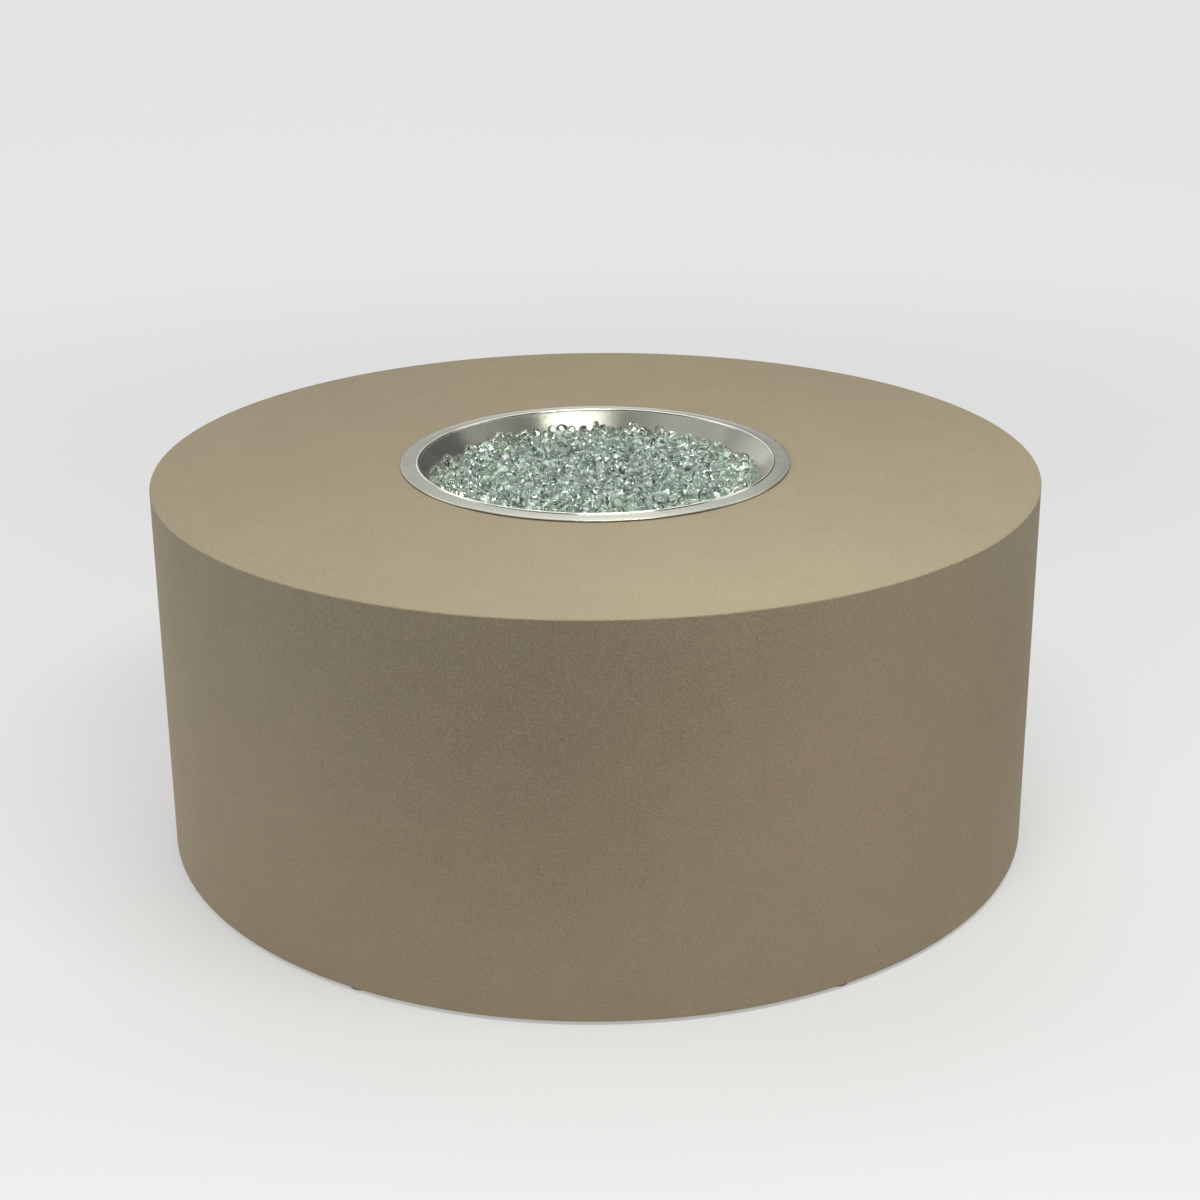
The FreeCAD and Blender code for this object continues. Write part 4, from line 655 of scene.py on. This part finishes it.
# The top of the bead is smoother, a real polish, and brighter than the stainless, a painted
# highlight.
on_bead = spread(tree, level, RIM_TOP + BEAD_SHINE[0], RIM_TOP + BEAD_SHINE[1])
satin = vary(tree, smear, 0.25, 0.29)
rough = spread(tree, on_bead, 0.0, 1.0, satin, 0.12)
tone = blend_colours(tree, vary(tree, groove), PAN_RING, PAN_STEEL)
dress(tree, shader, {
    "Roughness": rough, "Base Color": blend_colours(tree, on_bead, tone, BEAD_POLISH_AND_HIGHLIGHT),
    "Metallic": 1.0, "Anisotropic": 0.80, "Anisotropic Rotation": 0.25,
    "Tangent": around.outputs[0]})
wavy = grain(tree, place, 0.045, 1.0, strand=6.0)
wavy = reckon(tree, "MULTIPLY", wavy, PAN_WAVINESS / PAN_GROOVE)
emboss(tree, shader, reckon(tree, "ADD", wavy, groove), PAN_GROOVE)

group, inputs, given = start_tree("drilled_pan", {
    "Pan": "Geometry", "Holes": "Int", "Hole radius": "Float", "Hole circle": "Float",
    "Floor": "Float", "Finish": "Material"}, "Drilled")
circle = add(group, "GeometryNodeMeshCircle", {
    "Vertices": given["Holes"], "Radius": given["Hole circle"]})
spot = add(group, "ShaderNodeCombineXYZ", {"Z": given["Floor"]})
corners = add(group, "GeometryNodeTransform", {
    "Geometry": circle.outputs[0], "Translation": spot.outputs[0],
    "Rotation": (0.0, 0.0, math.radians(45))})
drill = add(group, "GeometryNodeMeshCylinder", {
    "Vertices": DRILL_SIDES, "Radius": given["Hole radius"], "Depth": DRILL_LENGTH})
drills = add(group, "GeometryNodeInstanceOnPoints", {
    "Points": corners.outputs[0], "Instance": drill.outputs["Mesh"]})
loose = add(group, "GeometryNodeRealizeInstances", {"Geometry": drills.outputs[0]})
drilled = add(group, "GeometryNodeMeshBoolean", {
    "Mesh 1": given["Pan"], "Mesh 2": loose.outputs[0]}, operation="DIFFERENCE", solver="EXACT")
end_tree(group, drilled.outputs[0], given["Finish"])

pan = show(lathe(pan_profile(), PAN_SIDES, "spun_blank", closed=True), "spun_pan")
pan.data = grow(pan, group, inputs, {
    "Holes": WEEP_HOLES, "Hole radius": WEEP_HOLE, "Hole circle": WEEP_CIRCLE,
    "Floor": PAN_FLOOR, "Finish": steel})
pan.data.shade_smooth()
pan.data.set_sharp_from_angle(angle=PAN_CREASE)
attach(pan, "pan")
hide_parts("burner_pan")


# Burner ring and hub plug
# Stainless tube bent into two rings and welded to four spokes and a hub, with flame ports
# drilled along its crown, and a plug that closes the hub. It has never burned, so only welding
# has tinted it straw in places.
BURNER_STEEL = (0.52, 0.51, 0.49, 1.0)
STRAW_TINT = (0.48, 0.42, 0.31, 1.0)
burner_steel, tree, shader = new_finish("burner_stainless")
place, flat, away, level = measure(tree)
ring_low, ring_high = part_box("burner_ring")
welded = spread(tree, grain(tree, place, 0.018, 3.0), 0.55, 0.72, 0.0, 0.8)
tint = blend_colours(tree, welded, BURNER_STEEL, STRAW_TINT)
scuff = grain(tree, place, 0.0012, 4.0, 0.7)
tint = blend_colours(tree, spread(tree, scuff, 0.4, 0.7, 0.0, 0.3), tint, BURNER_STEEL)
dress(tree, shader, {
    "Base Color": tint, "Roughness": vary(tree, scuff, 0.30, 0.46), "Metallic": 1.0})
emboss(tree, shader, scuff, 0.00005)
coat("burner_ring", burner_steel)
coat("hub_plug", burner_steel)


# Supply nipple
# A short half-inch pipe nipple threaded over its whole length. It carries the burner, passes
# through the pan's floor and takes the locknuts and the adapter. Black iron with a film of oil.
nipple_low, nipple_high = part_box("supply_nipple")
PIPE_RADIUS = nipple_high.x
PIPE_BORE = 0.0079
PIPE_PITCH = 0.001814
THREAD_DEPTH = 0.0011
STEPS_PER_TURN = 6
THREAD_AT_RIM = 0.35
PIPE_SIDES = 48
IRON = (0.050, 0.047, 0.045, 1.0)
IRON_WORN = (0.15, 0.14, 0.13, 1.0)


def threaded_pipe(low, high, name):
    """A pipe with a right-hand V thread outside and a plain bore, closed at both rims."""
    shape = bmesh.new()
    levels = math.ceil((high - low) / PIPE_PITCH * STEPS_PER_TURN)
    rings = []
    for k in range(levels + 1):
        z = low + (high - low) * k / levels
        fade = min(1.0, THREAD_AT_RIM + min(z - low, high - z) / PIPE_PITCH)
        ring = []
        for i in range(PIPE_SIDES):
            phase = (z / PIPE_PITCH - i / PIPE_SIDES) % 1.0
            r = PIPE_RADIUS - THREAD_DEPTH * (1.0 - abs(2.0 * phase - 1.0) * fade)
            angle = 2 * math.pi * i / PIPE_SIDES
            ring.append(shape.verts.new((r * math.cos(angle), r * math.sin(angle), z)))
        rings.append(ring)
    for z in (high, low):
        rings.append([shape.verts.new((PIPE_BORE * math.cos(2 * math.pi * i / PIPE_SIDES),
                                       PIPE_BORE * math.sin(2 * math.pi * i / PIPE_SIDES), z))
                      for i in range(PIPE_SIDES)])
    for lower, upper in zip(rings, rings[1:] + rings[:1]):
        for i in range(PIPE_SIDES):
            j = (i + 1) % PIPE_SIDES
            shape.faces.new((lower[i], lower[j], upper[j], upper[i]))
    mesh = bpy.data.meshes.new(name)
    shape.to_mesh(mesh)
    shape.free()
    return mesh


iron, tree, shader = new_finish("pipe_iron")
place, flat, away, level = measure(tree)
worn = grain(tree, place, 0.003, 4.0, 0.7)
crest = spread(tree, away, PIPE_RADIUS - 0.0005, PIPE_RADIUS - 0.0001, 0.0, 0.8)
rubbed = reckon(tree, "MULTIPLY", crest, spread(tree, worn, 0.35, 0.6))
dress(tree, shader, {"Base Color": blend_colours(tree, rubbed, IRON, IRON_WORN),
                     "Roughness": vary(tree, worn, 0.34, 0.52), "Metallic": 0.75})
emboss(tree, shader, worn, 0.00008)
nipple = show(threaded_pipe(nipple_low.z, nipple_high.z, "threaded_nipple"), "threaded_nipple")
nipple.data.materials.append(iron)
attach(nipple, "pan")
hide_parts("supply_nipple")


# Locknuts and pan washer
# Stamped steel, zinc plated: one locknut stands on the pan's floor and carries the burner, the
# other pulls a broad washer up under the pan. The plating has a faint bluish and straw bloom.
ZINC = (0.56, 0.57, 0.58, 1.0)
ZINC_BLUE = (0.47, 0.51, 0.58, 1.0)
ZINC_STRAW = (0.58, 0.55, 0.44, 1.0)
zinc, tree, shader = new_finish("zinc_steel")
place = own_place(tree)
bounce_light_and_zinc_bloom = grain(tree, place, 0.009, 2.0)
tone = blend_colours(tree, spread(tree, bounce_light_and_zinc_bloom, 0.50, 0.68, 0.0, 0.8), ZINC, ZINC_STRAW)
tone = blend_colours(tree, spread(tree, bounce_light_and_zinc_bloom, 0.48, 0.32, 0.0, 0.8), tone, ZINC_BLUE)
crystals = grain(tree, place, 0.0008, 3.0, 0.7)
dress(tree, shader, {
    "Base Color": tone, "Roughness": vary(tree, crystals, 0.30, 0.46), "Metallic": 1.0})
emboss(tree, shader, crystals, 0.00004)
for name in ("upper_locknut", "lower_locknut", "pan_washer"):
    coat(name, zinc)


# Brass fittings
# Adapters, flare nuts and a valve turned from brass bar, and an elbow and a valve body forged
# in brass and machined where they seal. Handling has dulled them a little.
BRASS = (0.66, 0.47, 0.19, 1.0)
BRASS_DULL = (0.42, 0.27, 0.11, 1.0)


def brass(name, grain_size, depth, smoothest, roughest):
    """Brass that is duller in patches, with a grain left by turning or by forging."""
    material, tree, shader = new_finish(name)
    place = own_place(tree)
    dull = spread(tree, grain(tree, place, 0.012, 4.0, 0.6), 0.42, 0.66)
    tone = blend_colours(tree, dull, BRASS, BRASS_DULL)
    texture = grain(tree, place, grain_size, 3.0, 0.6)
    rough = reckon(tree, "ADD", spread(tree, dull, 0.0, 1.0, smoothest, roughest),
                   vary(tree, texture, 0.0, 0.06))
    dress(tree, shader, {"Base Color": tone, "Roughness": rough, "Metallic": 1.0})
    emboss(tree, shader, texture, depth)
    return material


turned_brass = brass("turned_brass", 0.0005, 0.00002, 0.18, 0.30)
forged_brass = brass("forged_brass", 0.0011, 0.00010, 0.34, 0.46)
for name in ("pan_adapter", "pan_flare_nut", "outlet_adapter", "valve_flare_nut", "valve_end_cap",
             "valve_stem", "gland_nut"):
    coat(name, turned_brass)
for name in ("valve_body", "inlet_elbow"):
    coat(name, forged_brass)


# Flexible connector
# Thin stainless tube rolled into close ribs, with a plain cuff at each end that its flare nut
# pulls tight. It hangs from the pan's adapter in a slack bow and rises to the valve.
FLEX_ROUTE = (
    (0.0, 0.0, 0.3487), (0.0, 0.0, 0.2007), (0.150, 0.110, 0.1907),
    (0.218, 0.298, 0.220), (0.230, 0.470, 0.250), (0.0573, 0.470, 0.250),
)
FLEX_RADIUS = 0.00635
RIB_DEPTH = 0.0011
RIB_PITCH = 0.0032
STEPS_PER_RIB = 6.0
PLAIN_CUFF = 0.018
CUFF_RADIUS = 0.0056
FLEX_SIDES = 18
FLEX_STEEL = (0.58, 0.575, 0.56, 1.0)
FLEX_GROOVE_SHADE = (0.30, 0.295, 0.285, 1.0)

line = bpy.data.curves.new("connector_line", "CURVE")
line.dimensions = "3D"
spline = line.splines.new("NURBS")
spline.points.add(len(FLEX_ROUTE) - 1)
for point, spot in zip(spline.points, FLEX_ROUTE):
    point.co = (*spot, 1.0)
spline.order_u = 3
spline.use_endpoint_u = True
spline.resolution_u = 24
route = bpy.data.objects.new("connector_line", line)
scene.collection.objects.link(route)

flex_steel, tree, shader = new_finish("connector_steel")
place = own_place(tree)
# The ribs' grooves are darkened by their depth: painted shade in the grooves.
groove_shade = add(tree, "ShaderNodeAttribute", attribute_name="groove").outputs["Fac"]
painted_light_and_stain = grain(tree, place, 0.015, 3.0)
dress(tree, shader, {"Base Color": blend_colours(tree, groove_shade, FLEX_STEEL, FLEX_GROOVE_SHADE),
                     "Roughness": vary(tree, painted_light_and_stain, 0.22, 0.36), "Metallic": 1.0})
emboss(tree, shader, grain(tree, place, 0.0008, 2.0), 0.00002)

group, inputs, given = start_tree("ribbed_connector", {
    "Line": "Geometry", "Outside radius": "Float", "Rib depth": "Float", "Rib pitch": "Float",
    "Cuff length": "Float", "Cuff radius": "Float", "Sides": "Int", "Finish": "Material"},
    "Connector")
step = reckon(group, "DIVIDE", given["Rib pitch"], STEPS_PER_RIB)
resampled = add(group, "GeometryNodeResampleCurve", {"Curve": given["Line"], "Length": step},
                mode="LENGTH")
along = add(group, "GeometryNodeSplineParameter").outputs["Length"]
whole = add(group, "GeometryNodeSplineLength").outputs["Length"]
from_end = reckon(group, "MINIMUM", along, reckon(group, "SUBTRACT", whole, along))
ribbed = add(group, "ShaderNodeMapRange", {
    "Value": from_end, "From Min": given["Cuff length"],
    "From Max": reckon(group, "ADD", given["Cuff length"], given["Rib pitch"])}).outputs["Result"]
turns = reckon(group, "DIVIDE", along, given["Rib pitch"])
wave = reckon(group, "COSINE", reckon(group, "MULTIPLY", turns, 2 * math.pi))
wave = reckon(group, "ADD", reckon(group, "MULTIPLY", wave, 0.5), 0.5)
sunk = reckon(group, "MULTIPLY", wave, ribbed)
hollow = reckon(group, "MULTIPLY", sunk, given["Rib depth"])
outer = add(group, "ShaderNodeMix", {
    0: ribbed, 2: given["Cuff radius"], 3: given["Outside radius"]})
thickness = reckon(group, "SUBTRACT", outer.outputs[0], hollow)
kept = add(group, "GeometryNodeStoreNamedAttribute", {
    "Geometry": resampled.outputs[0], "Name": "groove", "Value": sunk},
    data_type="FLOAT", domain="POINT")
ring = add(group, "GeometryNodeCurvePrimitiveCircle", {
    "Resolution": given["Sides"], "Radius": 1.0})
tube = add(group, "GeometryNodeCurveToMesh", {
    "Curve": kept.outputs[0], "Profile Curve": ring.outputs[0], "Scale": thickness,
    "Fill Caps": True})
smooth = add(group, "GeometryNodeSetShadeSmooth", {"Geometry": tube.outputs[0]})
end_tree(group, smooth.outputs[0], given["Finish"])
made = grow(route, group, inputs, {
    "Outside radius": FLEX_RADIUS, "Rib depth": RIB_DEPTH, "Rib pitch": RIB_PITCH,
    "Cuff length": PLAIN_CUFF, "Cuff radius": CUFF_RADIUS, "Sides": FLEX_SIDES,
    "Finish": flex_steel})
bpy.data.objects.remove(route)
connector = show(made, "ribbed_connector")
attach(connector, "drum")
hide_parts("flex_line")


# Valve seals
# Two moulded seat rings and a packing ring, all in white low-friction plastic, pressed between
# the brass parts and slightly waxy to look at.
SEAL_WHITE = (0.80, 0.80, 0.77, 1.0)
SEAL_GREY = (0.66, 0.66, 0.63, 1.0)
seal_plastic, tree, shader = new_finish("seal_plastic")
place = own_place(tree)
waxy = grain(tree, place, 0.004, 3.0)
dress(tree, shader, {"Base Color": blend_colours(tree, waxy, SEAL_WHITE, SEAL_GREY),
                     "Roughness": vary(tree, waxy, 0.38, 0.52)})
emboss(tree, shader, grain(tree, place, 0.0006, 2.0), 0.00003)
coat("valve_seats", seal_plastic)
coat("stem_packing", seal_plastic)


# Ball, escutcheon and key
# The bored ball is brass, ground round and chrome plated. The escutcheon screws onto the
# valve's neck against the wall, and the loose key, cast and polished, drops through it onto the
# square of the stem. Both are bright chrome with fine wiping marks.
CHROME = (0.74, 0.75, 0.76, 1.0)
CHROME_HAZE = (0.62, 0.63, 0.64, 1.0)


def chrome(name, smoothest, roughest):
    """Bright plating with hazy patches and fine scratches that run every way."""
    material, tree, shader = new_finish(name)
    place = own_place(tree)
    haze = spread(tree, grain(tree, place, 0.010, 4.0, 0.6), 0.45, 0.70)
    dress(tree, shader, {
        "Base Color": blend_colours(tree, haze, CHROME, CHROME_HAZE),
        "Roughness": spread(tree, haze, 0.0, 1.0, smoothest, roughest), "Metallic": 1.0})
    drawn = add(tree, "ShaderNodeMapping", {
        "Vector": place, "Rotation": (0.4, 0.7, 0.2), "Scale": (1.0, 0.04, 1.0)}).outputs[0]
    emboss(tree, shader, grain(tree, drawn, 0.0004, 2.0), 0.000008)
    return material


trim_chrome = chrome("trim_chrome", 0.05, 0.14)
coat("valve_ball", chrome("ball_chrome", 0.08, 0.16))
coat("escutcheon", trim_chrome)
coat("gas_key", trim_chrome)


# Fire glass
# Tumbled clear glass with a green-blue cast, poured over the burner to just under the rim. Each
# nugget is a rounded lump, mostly 12 to 20 mm long, that rests on the ones below it.
NUGGETS = 3400
NUGGET_RADII = (0.0047, 0.0074)
SHORTEST, LONGEST = 0.95, 1.28
NARROWEST, WIDEST = 0.85, 1.05
FLATTEST, THICKEST = 0.72, 0.92
LUMPINESS = 0.25
LUMPS_ACROSS = 0.9
STRANDS_APART = 3.7
WHOLE_TURN = 6.2832
NUGGET_SEED = 11
VARIANTS = 6
POUR_STEPS = 420
STILL_STEPS = 60
STEPS_PER_SEARCH = 6
SEARCH_MARGIN = 0.004
SINK_PER_STEP = 0.0007
NUDGE = 1.4
CROWDING = 0.6
WALL_ROOM = 1.05
TINY = 1e-9
POUR_SEED = 7
POUR_RADIUS = 0.185
POUR_FROM, POUR_TO = 0.01, 0.10
TOP_LAYERS = 0.0168
CROWN = 0.0045
EDGE_FALL = 0.002
BED_EDGE = 0.1975
POURED_ROUND = -0.003
CREST_SHARE = 0.8
EDGE_SHARE = 0.6
DEEP_OVER_HUB = 0.011
GLASS_DEEP = (0.905, 0.980, 0.930, 1.0)
GLASS_PALE = (0.955, 0.993, 0.967, 1.0)
GLASS_MASS = (0.86, 0.96, 0.875, 1.0)
GLASS_IOR = 1.5

OUTER_RING = 0.1445
OUTER_TUBE = 0.008
INNER_RING = 0.068
INNER_TUBE = 0.007
SPOKE_TUBE = 0.006
HUB = 0.017
ring_level = ring_high.z - (ring_high.z - ring_low.z) / 2
POURED_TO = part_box("fire_glass")[1].z + CROWN


def keep_in_pan(centres, room):
    """Moves centres that are too near the pan or the burner straight out of it."""
    x, y, z = centres.T
    z[:] = np.maximum(z, PAN_FLOOR + room)
    away = np.hypot(x, y) + TINY
    past = (away - PAN_FLOOR_RADIUS - (z - PAN_FLOOR)) / math.sqrt(2) + room
    past = np.maximum(past, 0.0) / math.sqrt(2)
    x -= past * x / away
    y -= past * y / away
    z += past
    for ring, tube in ((OUTER_RING, OUTER_TUBE), (INNER_RING, INNER_TUBE)):
        away = np.hypot(x, y) + TINY
        out, up = away - ring, z - ring_level
        gap = np.hypot(out, up) + TINY
        push = np.maximum(tube + room - gap, 0.0) / gap
        z += push * up
        x += push * out * x / away
        y += push * out * y / away
    for along, beside in ((x, y), (y, x)):
        up = z - ring_level
        gap = np.hypot(beside, up) + TINY
        push = np.maximum(SPOKE_TUBE + room - gap, 0.0)
        push = np.where(np.abs(along) < OUTER_RING, push, 0.0)
        push /= gap
        beside += push * beside
        z += push * up
    away = np.hypot(x, y) + TINY
    push = np.maximum(HUB + room - away, 0.0)
    push = np.where(z < ring_high.z + room / 2, push, 0.0) / away
    x += push * x
    y += push * y


def pour_nuggets():
    """Drops spheres into the pan, lets them settle on each other and levels the top."""
    dice = np.random.default_rng(POUR_SEED)
    size = dice.uniform(*NUGGET_RADII, NUGGETS)
    angle = dice.uniform(0.0, 2 * math.pi, NUGGETS)
    away = POUR_RADIUS * np.sqrt(dice.uniform(0.0, 1.0, NUGGETS))
    level = dice.uniform(PAN_FLOOR + POUR_FROM, PAN_FLOOR + POUR_TO, NUGGETS)
    centres = np.stack([away * np.cos(angle), away * np.sin(angle), level], 1)
    first = second = None
    for step in range(POUR_STEPS):
        if step % STEPS_PER_SEARCH == 0:
            square = (centres ** 2).sum(1)
            gaps = square[:, None] + square[None, :] - 2.0 * centres @ centres.T
            reach = (2.0 * NUGGET_RADII[1] + SEARCH_MARGIN) ** 2
            first, second = np.nonzero(np.triu(gaps < reach, 1))
            limit = size[first] + size[second]
        if step < POUR_STEPS - STILL_STEPS:
            centres[:, 2] -= SINK_PER_STEP
        line = centres[second] - centres[first]
        gap = np.sqrt((line ** 2).sum(1)) + TINY
        push = np.maximum(limit - gap, 0.0) / gap * 0.5
        touching = (push > 0.0).astype(float)
        move = line * push[:, None]
        share = np.bincount(first, touching, NUGGETS) + np.bincount(second, touching, NUGGETS)
        for axis in range(3):
            shift = (np.bincount(second, move[:, axis], NUGGETS)
                     - np.bincount(first, move[:, axis], NUGGETS))
            centres[:, axis] += NUDGE * shift / np.maximum(share * CROWDING, 1.0)
        keep_in_pan(centres, size * WALL_ROOM)
    away = np.hypot(centres[:, 0], centres[:, 1])
    level = POURED_TO - EDGE_FALL * (away / BED_EDGE) ** 2
    from_middle = np.hypot(centres[:, 0] - POURED_ROUND, centres[:, 1])
    kept = ((centres[:, 2] + CREST_SHARE * size < level)
            & (from_middle + EDGE_SHARE * size < BED_EDGE))
    return centres[kept], size[kept]


glass, tree, shader = new_finish("fire_glass")
place = own_place(tree)
tint = spread(tree, grain(tree, place, 0.012, 1.0), 0.35, 0.65)
dress(tree, shader, {
    "Base Color": blend_colours(tree, tint, GLASS_DEEP, GLASS_PALE),
    "Transmission Weight": 1.0, "Roughness": 0.0, "IOR": GLASS_IOR})
emboss(tree, shader, grain(tree, place, 0.004, 1.0), 0.0006, 0.15)

# Light that has crossed many nuggets comes back pale and even, which the buried ones show at once.
buried_glass, tree, shader = new_finish("fire_glass_buried")
place = own_place(tree)
tint = spread(tree, grain(tree, place, 0.009, 1.0), 0.35, 0.65)
dress(tree, shader, {
    "Base Color": blend_colours(tree, tint, GLASS_MASS, GLASS_DEEP),
    "Transmission Weight": 0.25, "Roughness": 0.04, "IOR": GLASS_IOR})

group, inputs, given = start_tree("poured_glass", {
    "Points": "Geometry", "Longest side": "Float", "Flattest side": "Float", "Lumps": "Float",
    "Fineness": "Int", "Seed": "Int", "Finish": "Material"}, "Nuggets")
lump = add(group, "GeometryNodeMeshCube", {
    "Size": (2.0, 2.0, 2.0), "Vertices X": given["Fineness"], "Vertices Y": given["Fineness"],
    "Vertices Z": given["Fineness"]})
where = add(group, "GeometryNodeInputPosition").outputs[0]
round_off = add(group, "ShaderNodeVectorMath", {0: where}, operation="NORMALIZE").outputs[0]
variants = add(group, "GeometryNodeJoinGeometry")
for i in range(VARIANTS):
    wobble = add(group, "ShaderNodeTexNoise", {
        "Vector": round_off, "W": STRANDS_APART * i, "Scale": LUMPS_ACROSS, "Detail": 1.0},
        noise_dimensions="4D")
    swell = add(group, "ShaderNodeMath", {0: wobble.outputs[0], 1: given["Lumps"], 2: 1.0},
               operation="MULTIPLY_ADD")
    spot = add(group, "ShaderNodeVectorMath", {0: round_off, "Scale": swell.outputs[0]},
               operation="SCALE")
    shaped = add(group, "GeometryNodeSetPosition", {
        "Geometry": lump.outputs["Mesh"], "Position": spot.outputs[0]})
    smooth = add(group, "GeometryNodeSetShadeSmooth", {"Geometry": shaped.outputs[0]})
    one = add(group, "GeometryNodeGeometryToInstance", {"Geometry": smooth.outputs[0]})
    group.links.new(one.outputs[0], variants.inputs[0])
spin = add(group, "FunctionNodeRandomValue", {
    "Min": (0.0, 0.0, 0.0), "Max": (WHOLE_TURN,) * 3, "Seed": given["Seed"]},
    data_type="FLOAT_VECTOR")
low = add(group, "ShaderNodeCombineXYZ", {
    "X": SHORTEST, "Y": NARROWEST, "Z": given["Flattest side"]})
high = add(group, "ShaderNodeCombineXYZ", {
    "X": given["Longest side"], "Y": WIDEST, "Z": THICKEST})
stretch = add(group, "FunctionNodeRandomValue", {
    "Min": low.outputs[0], "Max": high.outputs[0], "Seed": given["Seed"]},
    data_type="FLOAT_VECTOR")
girth = add(group, "GeometryNodeInputNamedAttribute", {"Name": "nugget_size"}, data_type="FLOAT")
sized = add(group, "ShaderNodeVectorMath", {0: stretch.outputs[0], "Scale": girth.outputs[0]},
            operation="SCALE")
scatter = add(group, "GeometryNodeInstanceOnPoints", {
    "Points": given["Points"], "Instance": variants.outputs[0], "Pick Instance": True,
    "Rotation": spin.outputs[0], "Scale": sized.outputs[0]})
end_tree(group, scatter.outputs[0], given["Finish"])

centres, sizes = pour_nuggets()
over_hub = np.hypot(centres[:, 0], centres[:, 1]) < HUB
over_hub &= centres[:, 2] < POURED_TO - DEEP_OVER_HUB
upper = (centres[:, 2] > POURED_TO - TOP_LAYERS) & ~over_hub
for name, chosen, fineness, finish in (("fire_glass_top", upper, 5, glass),
                                       ("fire_glass_below", ~upper, 3, buried_glass)):
    points = bpy.data.meshes.new(name)
    points.from_pydata([tuple(spot) for spot in centres[chosen]], [], [])
    girths = points.attributes.new("nugget_size", "FLOAT", "POINT")
    girths.data.foreach_set("value", sizes[chosen].astype(np.float32))
    bed = show(points, name)
    bed.data = grow(bed, group, inputs, {
        "Longest side": LONGEST, "Flattest side": FLATTEST, "Lumps": LUMPINESS,
        "Fineness": fineness, "Seed": NUGGET_SEED + fineness, "Finish": finish})
    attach(bed, "pan")
    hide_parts("fire_glass")
